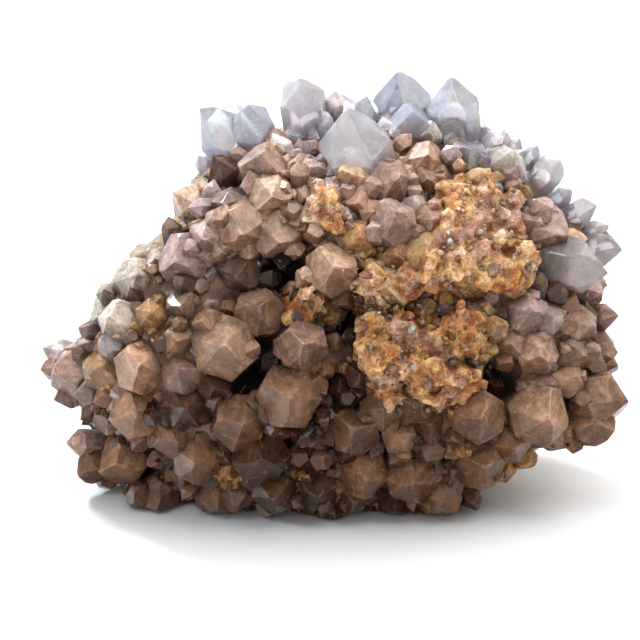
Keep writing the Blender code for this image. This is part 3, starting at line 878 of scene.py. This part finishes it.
def under_crystals(tree, placed, look):
    """Middling crystals in what room the main ones leave."""
    middles = np.array([item[0] + item[1] * 0.4 * item[3] for item in placed])
    widths = np.array([item[2] for item in placed])
    added = []
    for direction in spread_directions(UNDER_TRIES, look):
        width = look.uniform(*UNDER_WIDTH)
        rise = width * look.uniform(*UNDER_RISE)
        tilt = Vector([look.uniform(-UNDER_TILT, UNDER_TILT) for _ in range(3)])
        spin = look.random() * math.tau
        if not is_covered(direction, FILL_COVER):
            continue
        hit = tree.ray_cast(BODY_MIDDLE, direction)
        if hit[0] is None or hit[0].z < FILL_LOWEST or cleft_at(hit[0]) > 0.25:
            continue
        if is_on_rim(hit[0], 0.5 * width + RIM_MARGIN):
            continue
        middle = hit[0] + hit[1] * 0.4 * rise
        away = np.linalg.norm(middles - np.array(middle), axis=1)
        if np.any(away < UNDER_SPACING * 0.5 * (widths + width)):
            continue
        kind = kind_for(hit[0], look)
        added.append((hit[0], (hit[1] + tilt).normalized(), width, rise, spin, kind))
        middles = np.vstack([middles, middle])
        widths = np.append(widths, width)
    return added


def grow_all(crystals, gathers, chance, look, main=True):
    """Crystals grown into the clear or the cloudy gather, as their kinds say."""
    clear, cloudy = gathers
    for foot, axis, width, rise, spin, kind in crystals:
        kind = kind or kind_for(foot, look)
        place = Matrix.Translation(foot) @ turned_to(axis, spin)
        tint = varied(kind, look, foot)
        if not main:
            # Painted shade, darker lower down
            tint *= 1.0 - lowness(foot) * LESSER_SHADE
        stain = max(STAIN[kind], 0.8 * ochre_at(foot + axis * rise))
        gather = clear if kind in CLEAR_KINDS else cloudy
        root = ROOT_SHARE * width + CRUST_SINK
        if main:
            grow(gather, place, width, rise, root, tint, stain, chance)
            side_growths(gather, place, width, rise, kind, tint, stain, look)
        else:
            grow(gather, place, width, rise, root, tint, stain, chance, SMALL_EDGE_SEGMENTS)


def side_growths(gather, place, width, rise, kind, tint, stain, look):
    """Smaller crystals in nearly the same direction on a crystal's sides and shoulders."""
    low, high = SIDE_GROWTHS[kind]
    down = sheet_place(place.translation)[1]
    if kind in "vmpl" and 150.0 < down < 250.0:
        low, high = CREST_GROWTHS
    for _ in range(look.randint(low, high)):
        angle = look.random() * math.tau
        outward = Vector((math.cos(angle), math.sin(angle), 0.0))
        share = look.uniform(0.28, 0.55)
        foot = outward * width * look.uniform(0.26, 0.40)
        foot.z = rise * look.uniform(-0.05, 0.38)
        lean = look.uniform(0.0, 0.45)
        axis = (Vector((0.0, 0.0, 1.0)) + outward * lean).normalized()
        inner = place @ Matrix.Translation(foot) @ turned_to(axis, look.random() * 0.4)
        part = tint * look.uniform(0.85, 1.15)
        size = width * share
        grow(gather, inner, size, size * look.uniform(0.5, 1.0), size * 0.5, part, stain, look,
             SMALL_EDGE_SEGMENTS)


def templates(look, count, edge):
    """Unit-width crystals for the druse."""
    made = []
    for _ in range(count):
        one = quartz_point(1.0, look.uniform(0.7, 1.3), 0.35, look)
        bmesh.ops.recalc_face_normals(one, faces=one.faces)
        marked = set()
        if edge:
            marked = set(
                bmesh.ops.bevel(one, geom=one.edges[:], offset=edge, segments=1,
                                affect="EDGES", clamp_overlap=True)["faces"]
            )
        made.append(as_arrays(one, marked))
        one.free()
    return made


def spread_directions(count, look):
    """Scattered directions over the whole sphere."""
    for _ in range(count):
        height = look.uniform(-1.0, 1.0)
        reach = math.sqrt(1.0 - height * height)
        turn = look.random() * math.tau
        yield Vector((reach * math.cos(turn), reach * math.sin(turn), height))


def inside_any(point, feet, axes, widths, rises):
    """Whether a point is inside one of the main crystals."""
    away = np.array(point) - feet
    along = np.einsum("ij,ij->i", away, axes)
    off = np.linalg.norm(away - axes * along[:, None], axis=1)
    return bool(np.any((along < rises * 0.55) & (along > -0.002) & (off < widths * 0.40)))


def druse(bed_tree, placed):
    """Small crystals all over the crust between the main ones."""
    look = random.Random(SEED + 2)
    shapes = templates(look, 14, 0.05)
    feet = np.array([item[0][:] for item in placed])
    axes = np.array([item[1][:] for item in placed])
    widths = np.array([item[2] for item in placed])
    rises = np.array([item[3] for item in placed])
    gather = Gather()
    for direction in spread_directions(DRUSE_COUNT, look):
        size = (1.6 + 4.6 * look.random() ** 2) * MM
        tilt = Vector([look.uniform(-0.45, 0.45) for _ in range(3)])
        spin = look.random() * math.tau
        shape = look.choice(shapes)
        if not is_covered(direction, FILL_COVER):
            continue
        hit = bed_tree.ray_cast(BODY_MIDDLE, direction)
        if hit[0] is None or hit[0].z < 1.2 * MM:
            continue
        if inside_any(hit[0], feet, axes, widths, rises):
            continue
        if is_on_rim(hit[0], 0.5 * size + RIM_MARGIN * look.random()):
            continue
        shade = cleft_at(hit[0])
        if shade > 0.70:
            continue
        axis = (hit[1] + tilt).normalized()
        place = Matrix.Translation(hit[0]) @ turned_to(axis, spin) @ Matrix.Scale(size, 4)
        points, faces, marks = shape
        kind = kind_for(hit[0], look)
        stain = max(STAIN[kind], ochre_at(hit[0]))
        rise = np.clip(points[:, 2], -0.5, 1.2)
        shaded = max(0.90 - 0.32 * lowness(hit[0]) - 0.9 * shade, 0.08)
        tint = varied(kind, look, hit[0]) * shaded
        placed_points = put(points, place)
        if placed_points[:, 2].min() > FLOOR_GAP:
            gather.add(placed_points, faces, tint, rise, stain, marks)
    return gather


def in_hollow(right, down):
    at_right, at_down, half_width, half_height = HOLLOW
    return ((right - at_right) / half_width) ** 2 + ((down - at_down) / half_height) ** 2 < 1.0


def front_hit(trees, right, down):
    """The foremost surface behind a place on the sheet, with its normal."""
    best = None
    for tree in trees:
        hit = tree.ray_cast(sheet_point(right, down) + TOWARD * OUTSIDE, -TOWARD)
        if hit[0] is not None and (best is None or hit[3] < best[3]):
            best = hit
    return best


def on_ochre(trees, count, look, least):
    """Scattered places on the front of the stained mass: right, down, point and normal."""
    made = 0
    for _ in range(count * 8):
        if made >= count:
            return
        right = look.uniform(285.0, 550.0)
        down = look.uniform(180.0, 415.0)
        ahead = sheet_point(right, down) + TOWARD * FRONT_DEPTH
        strength = ochre_at(ahead) + 0.35 * noise.noise(ahead * 110.0)
        if strength < least + 0.3 * look.random() or cleft_at(ahead) > 0.5:
            continue
        hit = front_hit(trees, right, down)
        if hit is not None:
            made += 1
            yield right, down, hit[0], hit[1]


def sintered(item, voxel):
    """A piece's overlapping shapes run into one skin."""
    modifier = item.modifiers.new("sinter", "REMESH")
    modifier.mode = "VOXEL"
    modifier.voxel_size = voxel
    bpy.context.view_layer.update()
    mesh = bpy.data.meshes.new_from_object(
        item.evaluated_get(bpy.context.evaluated_depsgraph_get())
    )
    item.modifiers.remove(modifier)
    source = bmesh.new()
    source.from_mesh(mesh)
    bpy.data.meshes.remove(mesh)
    bpy.data.objects.remove(item, do_unlink=True)
    return source


def mass_tint(point):
    """Straw at the top of the stained mass, browner below, deep orange in its hollow."""
    right, down = sheet_place(point)
    low = smooth_step((down - 250.0) / 90.0)
    tint = 1.25 - low * np.array([0.35, 0.45, 0.55])
    if in_hollow(right, down):
        tint *= np.array([0.85, 0.60, 0.35])
    return tint


def ochre_mass(trees, bed_tree, material):
    """The stained mass: crumbs grown into one craggy crust between the ochre crystals."""
    look = random.Random(SEED + 6)
    shapes = templates(look, 12, 0.0)
    crumbs = Gather()
    for right, down, point, normal in on_ochre(trees, MASS_LUMPS, look, 0.25):
        size = (1.4 + 4.2 * look.random() ** 2) * MM
        tilt = Vector([look.uniform(-0.7, 0.7) for _ in range(3)])
        spin = look.random() * math.tau
        low = front_hit((bed_tree,), right, down)
        high = low is not None and (point - low[0]).dot(TOWARD) > MASS_RISE
        if in_hollow(right, down) or (high and look.random() > 0.25):
            continue
        axis = (normal + tilt).normalized()
        place = Matrix.Translation(point) @ turned_to(axis, spin) @ Matrix.Scale(size, 4)
        points, faces, marks = look.choice(shapes)
        crumbs.add(put(points, place), faces, LINEAR["o"], points[:, 2], 1.0, marks)
    source = sintered(crumbs.build("loose_mass", material), MASS_VOXEL)
    source.normal_update()
    relief_shades = []
    for vertex in source.verts:
        cells = noise.voronoi(vertex.co * 330.0, distance_metric="MANHATTAN")[0]
        crags = noise.fractal(vertex.co * 260.0, 1.0, 2.0, 5)
        lift = (0.45 - cells[0]) * 0.7 * MM + crags * 0.6 * MM
        vertex.co += vertex.normal * lift
        vertex.co.z = max(vertex.co.z, FLOOR_GAP)
        # Painted shade in the pits and painted light on the crags, from how far each point moved
        relief_shades.append(min(max(1.0 + 0.8 * lift / MM, 0.45), 1.35))
    item = mesh_piece("ochre_mass", source, material)
    layer = item.data.attributes.new("tint", "FLOAT_COLOR", "POINT")
    for vertex, value, lift in zip(item.data.vertices, layer.data, relief_shades):
        shade = np.power(lift, PIT_SHADE)
        value.color = (*(mass_tint(vertex.co) * shade), 1.0)
    return item


def sugar(trees):
    """Tiny crystals over the stained mass, some of them clean and glinting."""
    look = random.Random(SEED + 3)
    shapes = templates(look, 8, 0.0)
    gather = Gather()
    for _, _, point, normal in on_ochre(trees, SUGAR_COUNT, look, 0.20):
        size = (0.4 + 1.5 * look.random() ** 4) * MM
        tilt = Vector([look.uniform(-0.8, 0.8) for _ in range(3)])
        axis = (normal + tilt).normalized()
        spin = look.random() * math.tau
        place = Matrix.Translation(point) @ turned_to(axis, spin) @ Matrix.Scale(size, 4)
        points, faces, marks = look.choice(shapes)
        kind = look.choice("yyyoobbwp")
        rise = np.clip(points[:, 2], -0.5, 1.2)
        tint = varied(kind, look, point)
        gather.add(put(points, place), faces, tint, rise, 0.6, marks)
    return gather


def bed_source():
    """The crust under the crystals, rough all over."""
    source = lump(crust_radius, BED_DETAIL)
    source.normal_update()
    for vertex in source.verts:
        rough = noise.fractal(vertex.co * 420.0, 1.0, 2.0, 4) * 0.55 * MM
        vertex.co += vertex.normal * rough
    bmesh.ops.bisect_plane(
        source,
        geom=source.verts[:] + source.edges[:] + source.faces[:],
        dist=CUT_TOLERANCE,
        plane_co=(0.0, 0.0, FLOOR_GAP),
        plane_no=(0.0, 0.0, 1.0),
        clear_inner=True,
    )
    bmesh.ops.holes_fill(source, edges=[edge for edge in source.edges if edge.is_boundary])
    return source


def rock_source():
    """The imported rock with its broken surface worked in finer."""
    source = bmesh.new()
    source.from_mesh(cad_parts["matrix"].data)
    bmesh.ops.remove_doubles(source, verts=source.verts, dist=0.001 * MM)
    bmesh.ops.triangulate(source, faces=source.faces)
    for _ in range(ROCK_CUTS):
        long_edges = [e for e in source.edges if e.calc_length() > 1.2 * MM]
        bmesh.ops.subdivide_edges(source, edges=long_edges, cuts=1, use_grid_fill=True)
        bmesh.ops.triangulate(source, faces=source.faces)
    source.normal_update()
    for vertex in source.verts:
        if vertex.co.z < 0.05 * MM:
            continue
        fade = smooth_step(vertex.co.z / (2.0 * MM))
        coarse = noise.fractal(vertex.co * 110.0, 1.0, 2.0, 5) * 0.9 * MM
        ridges = (noise.ridged_multi_fractal(vertex.co * 160.0, 1.0, 2.0, 4, 1.0, 2.0) - 1.0)
        vertex.co += vertex.normal * (coarse + ridges * 0.35 * MM - 0.2 * MM) * fade
    return source


def mesh_piece(name, source, material):
    mesh = bpy.data.meshes.new(name)
    source.to_mesh(mesh)
    source.free()
    mesh.materials.append(material)
    item = bpy.data.objects.new(name, mesh)
    bpy.context.scene.collection.objects.link(item)
    return item


class Nodes:
    """Short calls for a material's nodes."""

    def __init__(self, name):
        self.material = bpy.data.materials.new(name)
        self.material.use_nodes = True
        self.tree = self.material.node_tree
        self.shader = self.tree.nodes["Principled BSDF"]
        self.place = self.new("ShaderNodeTexCoord").outputs["Object"]

    def new(self, kind, **values):
        node = self.tree.nodes.new(kind)
        for key, value in values.items():
            setattr(node, key, value)
        return node

    def link(self, source, target):
        self.tree.links.new(source, target)

    def noise(self, scale, detail=4.0, rough=0.55, distortion=0.0):
        node = self.new("ShaderNodeTexNoise")
        self.link(self.place, node.inputs["Vector"])
        node.inputs["Scale"].default_value = scale
        node.inputs["Detail"].default_value = detail
        node.inputs["Roughness"].default_value = rough
        node.inputs["Distortion"].default_value = distortion
        return node.outputs["Fac"]

    def cells(self, scale, feature="F1"):
        node = self.new("ShaderNodeTexVoronoi", feature=feature)
        self.link(self.place, node.inputs["Vector"])
        node.inputs["Scale"].default_value = scale
        return node.outputs["Distance"]

    def attribute(self, name, output="Fac"):
        node = self.new("ShaderNodeAttribute", attribute_name=name)
        return node.outputs[output]

    def ramp(self, value, low, high, low_out=0.0, high_out=1.0):
        node = self.new("ShaderNodeMapRange", interpolation_type="SMOOTHSTEP")
        self.link(value, node.inputs["Value"])
        for key, number in zip(
            ("From Min", "From Max", "To Min", "To Max"), (low, high, low_out, high_out)
        ):
            node.inputs[key].default_value = number
        return node.outputs["Result"]

    def maths(self, operation, first, second):
        node = self.new("ShaderNodeMath", operation=operation)
        for index, value in enumerate((first, second)):
            if isinstance(value, (int, float)):
                node.inputs[index].default_value = value
            else:
                self.link(value, node.inputs[index])
        return node.outputs[0]

    def mix(self, share, first, second, blend="MIX"):
        node = self.new("ShaderNodeMix", data_type="RGBA", blend_type=blend)
        for socket, value in ((0, share), (6, first), (7, second)):
            if isinstance(value, (int, float)):
                node.inputs[socket].default_value = value
            elif isinstance(value, (tuple, list)):
                node.inputs[socket].default_value = (*value, 1.0)
            else:
                self.link(value, node.inputs[socket])
        return node.outputs[2]

    def grey(self, value):
        """A number as a grey colour."""
        node = self.new("ShaderNodeCombineColor")
        for index in range(3):
            self.link(value, node.inputs[index])
        return node.outputs[0]

    def bump(self, height, strength, distance, under=None):
        node = self.new("ShaderNodeBump")
        node.inputs["Strength"].default_value = strength
        node.inputs["Distance"].default_value = distance
        self.link(height, node.inputs["Height"])
        if under is not None:
            self.link(under, node.inputs["Normal"])
        return node.outputs["Normal"]

    def set(self, **values):
        for key, value in values.items():
            socket = self.shader.inputs[key.replace("_", " ")]
            if isinstance(value, (int, float, tuple)):
                socket.default_value = value
            else:
                self.link(value, socket)


RUST = tuple(linear((196, 128, 54)))
STRAW = tuple(linear((226, 192, 124)))
EARTH = tuple(linear((72, 44, 26)))
# Painted highlight for the rounded edges
EDGE_HIGHLIGHT = tuple(linear((232, 212, 200)))
# What a tint is multiplied by in a warm veil, and where a face is frosted
VEIL = (1.40, 1.24, 1.10)
FROST = (1.30, 1.42, 1.52)
# Painted shade on undersides and painted light on upper faces
UNDERSIDE_SHADE = (0.50, 0.41, 0.36)
UPPER_SIDE_LIGHT = (1.12, 1.12, 1.12)
SOOT = tuple(linear((26, 15, 11)))
UMBER = tuple(linear((80, 58, 48)))
COCOA = tuple(linear((120, 94, 82)))


def crystal_material(
    name, transmission, subsurface, depth, roughness, veils, root, gloss, coat, waves, sides
):
    """Quartz with clouds and veils in it and iron stain, with painted shade toward the roots and
    on undersides, painted light on upper faces and painted highlights along the rounded edges.
    """
    nodes = Nodes(name)
    tint = nodes.attribute("tint", "Color")
    rise = nodes.attribute("rise")
    stain = nodes.attribute("stain")
    edge = nodes.attribute("edge")
    cloud = nodes.ramp(nodes.noise(130.0, 5.0, 0.6, 0.8), 0.36, 0.64, 1.0 - veils, 1.0 + veils)
    wisps = nodes.ramp(nodes.noise(330.0, 5.0, 0.66, 1.6), 0.40, 0.64, 1.0 - veils, 1.0 + veils)
    colour = nodes.mix(1.0, tint, nodes.grey(nodes.maths("MULTIPLY", cloud, wisps)), "MULTIPLY")
    # Painted shade: darker toward the crystal's root
    colour = nodes.mix(
        1.0, colour, nodes.grey(nodes.ramp(rise, -0.1, 0.7, root, 1.04)), "MULTIPLY"
    )
    # Painted shade on faces turned down, painted light on faces turned up
    face_light = nodes.ramp(nodes.attribute("upward"), -0.65, 0.70)
    face_light = nodes.mix(face_light, UNDERSIDE_SHADE, UPPER_SIDE_LIGHT)
    colour = nodes.mix(sides, colour, nodes.mix(1.0, colour, face_light, "MULTIPLY"))
    veil = nodes.ramp(nodes.noise(170.0, 6.0, 0.62, 1.2), 0.50, 0.66)
    warm = nodes.mix(1.0, colour, VEIL, "MULTIPLY")
    colour = nodes.mix(nodes.maths("MULTIPLY", veil, veils), colour, warm)
    # Painted highlight along the rounded edges, broken up by noise
    edge_highlight = nodes.ramp(nodes.noise(420.0, 6.0, 0.7, 0.6), 0.46, 0.62)
    edge_highlight = nodes.maths("MULTIPLY", nodes.maths("MULTIPLY", edge, edge_highlight), 0.12)
    colour = nodes.mix(edge_highlight, colour, EDGE_HIGHLIGHT)
    frost = nodes.ramp(nodes.noise(560.0, 6.0, 0.72, 0.4), 0.52, 0.66)
    frost = nodes.maths("MULTIPLY", frost, nodes.ramp(nodes.noise(90.0), 0.42, 0.60, 0.0, 0.5))
    colour = nodes.mix(frost, colour, nodes.mix(1.0, tint, FROST, "MULTIPLY"))
    patch = nodes.noise(260.0, 6.0, 0.65, 0.8)
    grown = nodes.maths("ADD", patch, nodes.maths("MULTIPLY", stain, 0.34))
    covered = nodes.ramp(grown, 0.72, 0.86)
    rust = nodes.mix(nodes.ramp(nodes.noise(600.0), 0.40, 0.62), RUST, STRAW)
    colour = nodes.mix(nodes.maths("MULTIPLY", covered, 0.75), colour, rust)
    fleck = nodes.ramp(nodes.noise(900.0, 3.0, 0.7), 0.70, 0.76)
    colour = nodes.mix(nodes.maths("MULTIPLY", fleck, 0.5), colour, EARTH)
    rough = nodes.ramp(nodes.noise(300.0, 4.0), 0.3, 0.7, roughness - 0.08, roughness + 0.12)
    rough = nodes.maths("ADD", rough, nodes.maths("MULTIPLY", covered, 0.35))
    relief = nodes.bump(nodes.noise(240.0, 4.0, 0.6), waves, 0.45 * MM)
    relief = nodes.bump(nodes.noise(1300.0, 4.0, 0.6), 0.7 * waves, 0.12 * MM, relief)
    nodes.set(
        Base_Color=colour,
        Roughness=rough,
        Normal=relief,
        IOR=CRYSTAL_IOR,
        Transmission_Weight=transmission,
        Subsurface_Weight=subsurface,
        Subsurface_Radius=(1.0, 0.96, 0.93),
        Subsurface_Scale=depth,
        Specular_IOR_Level=gloss,
        Coat_Weight=coat,
        Coat_Roughness=0.04,
    )
    return nodes.material


def ochre_material():
    """Sandy iron crust over greyish quartz, straw where thin and rust in the pits."""
    nodes = Nodes("ochre_crust")
    tint = nodes.attribute("tint", "Color")
    quartz = tuple(linear((186, 156, 138)))
    straw = tuple(linear((218, 180, 128)))
    ochre = tuple(linear((196, 134, 74)))
    deep = tuple(linear((120, 70, 38)))
    colour = nodes.mix(nodes.ramp(nodes.noise(90.0, 6.0, 0.62, 0.6), 0.42, 0.60), quartz, straw)
    rusty = nodes.ramp(nodes.noise(120.0, 7.0, 0.68, 0.9), 0.46, 0.62)
    colour = nodes.mix(nodes.maths("MULTIPLY", rusty, 0.9), colour, ochre)
    pits = nodes.ramp(nodes.noise(300.0, 6.0, 0.66), 0.54, 0.68)
    colour = nodes.mix(nodes.maths("MULTIPLY", pits, 0.75), colour, deep)
    grains = nodes.ramp(nodes.noise(1500.0, 3.0, 0.6), 0.36, 0.64, 0.72, 1.22)
    colour = nodes.mix(1.0, colour, nodes.grey(grains), "MULTIPLY")
    colour = nodes.mix(1.0, colour, tint, "MULTIPLY")
    relief = nodes.bump(nodes.noise(520.0, 6.0, 0.65), 0.6, 0.5 * MM)
    relief = nodes.bump(nodes.cells(1500.0), 0.4, 0.2 * MM, relief)
    rough = nodes.ramp(rusty, 0.0, 1.0, 0.38, 0.72)
    nodes.set(
        Base_Color=colour,
        Roughness=rough,
        Normal=relief,
        Subsurface_Weight=0.30,
        Subsurface_Radius=(1.0, 0.6, 0.35),
        Subsurface_Scale=2.0 * MM,
        Specular_IOR_Level=0.25,
    )
    return nodes.material


def rock_colour(nodes):
    """Grey-olive rock with ochre stain, brown seams, frosty grains and pits."""
    olive = tuple(linear((124, 112, 90)))
    pale = tuple(linear((176, 166, 146)))
    ochre = tuple(linear((166, 124, 76)))
    frost = tuple(linear((216, 212, 204)))
    colour = nodes.mix(nodes.ramp(nodes.noise(60.0, 7.0, 0.62, 0.5), 0.38, 0.60), olive, pale)
    stain = nodes.ramp(nodes.noise(46.0, 7.0, 0.66, 0.9), 0.50, 0.68)
    colour = nodes.mix(nodes.maths("MULTIPLY", stain, 0.65), colour, ochre)
    seams = nodes.ramp(nodes.noise(85.0, 8.0, 0.7, 1.6), 0.56, 0.66)
    colour = nodes.mix(nodes.maths("MULTIPLY", seams, 0.7), colour, EARTH)
    grains = nodes.ramp(nodes.noise(700.0, 4.0, 0.66), 0.54, 0.64)
    colour = nodes.mix(nodes.maths("MULTIPLY", grains, 0.6), colour, frost)
    pits = nodes.ramp(nodes.noise(420.0, 5.0, 0.65), 0.58, 0.67)
    return nodes.mix(nodes.maths("MULTIPLY", pits, 0.5), colour, SOOT)


def bed_material():
    """Brown and ochre crust between the crystals, painted near black as shade deep in the clefts,
    bare at the rim.
    """
    nodes = Nodes("crust")
    clumps = nodes.noise(95.0, 6.0, 0.6, 0.6)
    colour = nodes.mix(nodes.ramp(clumps, 0.42, 0.66), UMBER, COCOA)
    rusty = nodes.ramp(nodes.noise(210.0, 6.0, 0.65), 0.52, 0.72)
    share = nodes.ramp(nodes.attribute("ochre"), 0.0, 0.7, 0.25, 0.95)
    colour = nodes.mix(nodes.maths("MULTIPLY", rusty, share), colour, RUST)
    # Painted shade: near black deep in the clefts
    deep = nodes.ramp(nodes.attribute("cleft"), 0.10, 0.55, 0.0, 0.92)
    colour = nodes.mix(deep, colour, (0.004, 0.002, 0.0015))
    colour = nodes.mix(nodes.attribute("rim"), colour, rock_colour(nodes))
    relief = nodes.bump(nodes.cells(700.0), 0.6, 0.5 * MM)
    relief = nodes.bump(nodes.noise(1500.0, 5.0), 0.4, 0.2 * MM, relief)
    nodes.set(Base_Color=colour, Roughness=0.62, Normal=relief, Specular_IOR_Level=0.1)
    return nodes.material


def rock_material():
    nodes = Nodes("host_rock_rough")
    relief = nodes.bump(nodes.noise(180.0, 8.0, 0.7), 0.8, 0.9 * MM)
    relief = nodes.bump(nodes.cells(900.0), 0.5, 0.35 * MM, relief)
    rough = nodes.ramp(nodes.noise(700.0, 4.0, 0.66), 0.54, 0.64, 0.88, 0.55)
    colour = rock_colour(nodes)
    nodes.set(Base_Color=colour, Roughness=rough, Normal=relief, Specular_IOR_Level=0.3)
    return nodes.material


def floor_material():
    nodes = Nodes("pale_floor")
    tone = nodes.ramp(nodes.noise(3.0, 2.0), 0.3, 0.7, 0.90, 0.92)
    nodes.set(Base_Color=nodes.grey(tone), Roughness=0.9, Specular_IOR_Level=0.1)
    return nodes.material


def add_light(name, kind, place, aim, energy, size, colour=(1.0, 1.0, 1.0)):
    light = bpy.data.lights.new(name, kind)
    light.energy = energy
    light.color = colour
    if kind == "SUN":
        light.angle = size
    else:
        light.size = size
    item = bpy.data.objects.new(name, light)
    item.location = place
    item.rotation_euler = (Vector(aim) - Vector(place)).to_track_quat("-Z", "Y").to_euler()
    bpy.context.scene.collection.objects.link(item)


def studio():
    """The floor, the lights, the world and the camera."""
    bpy.ops.mesh.primitive_plane_add(size=6.0, location=(0.0, 0.0, -0.0002))
    floor = bpy.context.object
    floor.name = "floor"
    floor.data.materials.append(floor_material())
    centre = (0.0, 0.0, 0.05)
    add_light("sky_window", "SUN", (0.36, 0.12, 1.0), centre, 2.7, math.radians(66.0))
    add_light("top_glint", "AREA", (-0.25, 0.30, 0.45), centre, 4.5, 0.13, (0.80, 0.90, 1.0))
    add_light("window_glint", "AREA", (-0.55, -0.35, 0.60), centre, 1.2, 0.16, (0.72, 0.86, 1.0))
    add_light("front_fill", "AREA", (-0.45, -0.75, 0.30), centre, 1.0, 0.5, (1.0, 0.95, 0.9))
    world = bpy.data.worlds.new("soft_room")
    bpy.context.scene.world = world
    world.use_nodes = True
    background = world.node_tree.nodes["Background"]
    background.inputs["Color"].default_value = (1.0, 1.0, 1.0, 1.0)
    background.inputs["Strength"].default_value = 0.45
    view = bpy.context.scene.view_settings
    view.view_transform = "Standard"
    view.look = "None"

    camera = bpy.data.cameras.new("camera")
    camera.sensor_width = 36.0
    camera.lens = camera.sensor_width * CAMERA_DISTANCE / SHEET_WIDTH
    item = bpy.data.objects.new("camera", camera)
    aim = sheet_point(SHEET_MIDDLE, SHEET_MIDDLE) + TOWARD * CAMERA_DEPTH
    turn = Matrix((RIGHT, UP, TOWARD)).transposed().to_4x4()
    item.matrix_world = Matrix.Translation(aim + TOWARD * CAMERA_DISTANCE) @ turn
    bpy.context.scene.collection.objects.link(item)
    bpy.context.scene.camera = item


CAMERA_DISTANCE = 0.80
CAMERA_DEPTH = 15.0 * MM
SHEET_WIDTH = 640.0 * SHEET_UNIT
CRYSTAL_IOR = 1.54


def stands_for(item, node):
    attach(item, "root")
    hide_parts(node)


def tree_of(item):
    source = bmesh.new()
    source.from_mesh(item.data)
    tree = BVHTree.FromBMesh(source)
    source.free()
    return tree


rock_tree = tree_of(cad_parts["matrix"])
chance = random.Random(SEED)
look = random.Random(SEED + 1)
gathers = (Gather(), Gather())
main_list = drawn_crystals(rock_tree, chance)
main_list += filling_crystals(rock_tree, main_list, chance)
grow_all(main_list, gathers, chance, look)
main_list += small_crystals(rock_tree, look)
grow_all(main_list[-len(SMALL):], gathers, look, look, main=False)
under_list = under_crystals(rock_tree, main_list, look)
lesser = Gather()
grow_all(under_list, (lesser, lesser), look, look, main=False)

# Name, transmission, subsurface weight and depth, roughness, veils, painted shade at the root,
# gloss, coat, waviness of the faces, and how much painted shade the undersides and painted light
# the upper faces get
clear_material = crystal_material(
    "clear_quartz", 0.60, 0.60, 1.0 * MM, 0.10, 0.10, 0.62, 0.50, 0.5, 0.08, 0.2
)
cloudy_material = crystal_material(
    "cloudy_quartz", 0.30, 0.42, 2.2 * MM, 0.20, 0.26, 0.34, 0.12, 0.15, 0.25, 1.0
)
druse_material = crystal_material(
    "druse_quartz", 0.25, 0.30, 1.0 * MM, 0.24, 0.20, 0.36, 0.10, 0.1, 0.20, 1.0
)
sugar_material = crystal_material(
    "sugar_quartz", 0.30, 0.40, 0.5 * MM, 0.18, 0.20, 0.70, 0.50, 0.3, 0.10, 0.5
)

clear_piece = gathers[0].build("clear_points", clear_material)
cloudy_piece = gathers[1].build("cloudy_points", cloudy_material)
lesser_piece = lesser.build("lesser_points", cloudy_material)
bed_piece = mesh_piece("crystal_bed", bed_source(), bed_material())
for name, value_at in (("cleft", cleft_at), ("ochre", ochre_at), ("rim", rim_at)):
    layer = bed_piece.data.attributes.new(name, "FLOAT", "POINT")
    for vertex, value in zip(bed_piece.data.vertices, layer.data):
        value.value = value_at(vertex.co)
bed_tree = tree_of(bed_piece)
druse_piece = druse(bed_tree, main_list + under_list).build("small_druse", druse_material)
front_trees = (tree_of(cloudy_piece), tree_of(clear_piece), tree_of(lesser_piece), bed_tree)
mass_piece = ochre_mass(front_trees, bed_tree, ochre_material())
sugar_piece = sugar((*front_trees, tree_of(mass_piece))).build("sugar_grains", sugar_material)
rock_piece = mesh_piece("rough_rock", rock_source(), rock_material())

quartz_pieces = (
    clear_piece, cloudy_piece, lesser_piece, bed_piece, druse_piece, mass_piece, sugar_piece
)
for item in quartz_pieces:
    stands_for(item, "amethyst_crystals")
stands_for(rock_piece, "matrix")
studio()

for item in (*quartz_pieces, rock_piece):
    item.data.calc_loop_triangles()
    print(item.name, len(item.data.loop_triangles), "triangles")
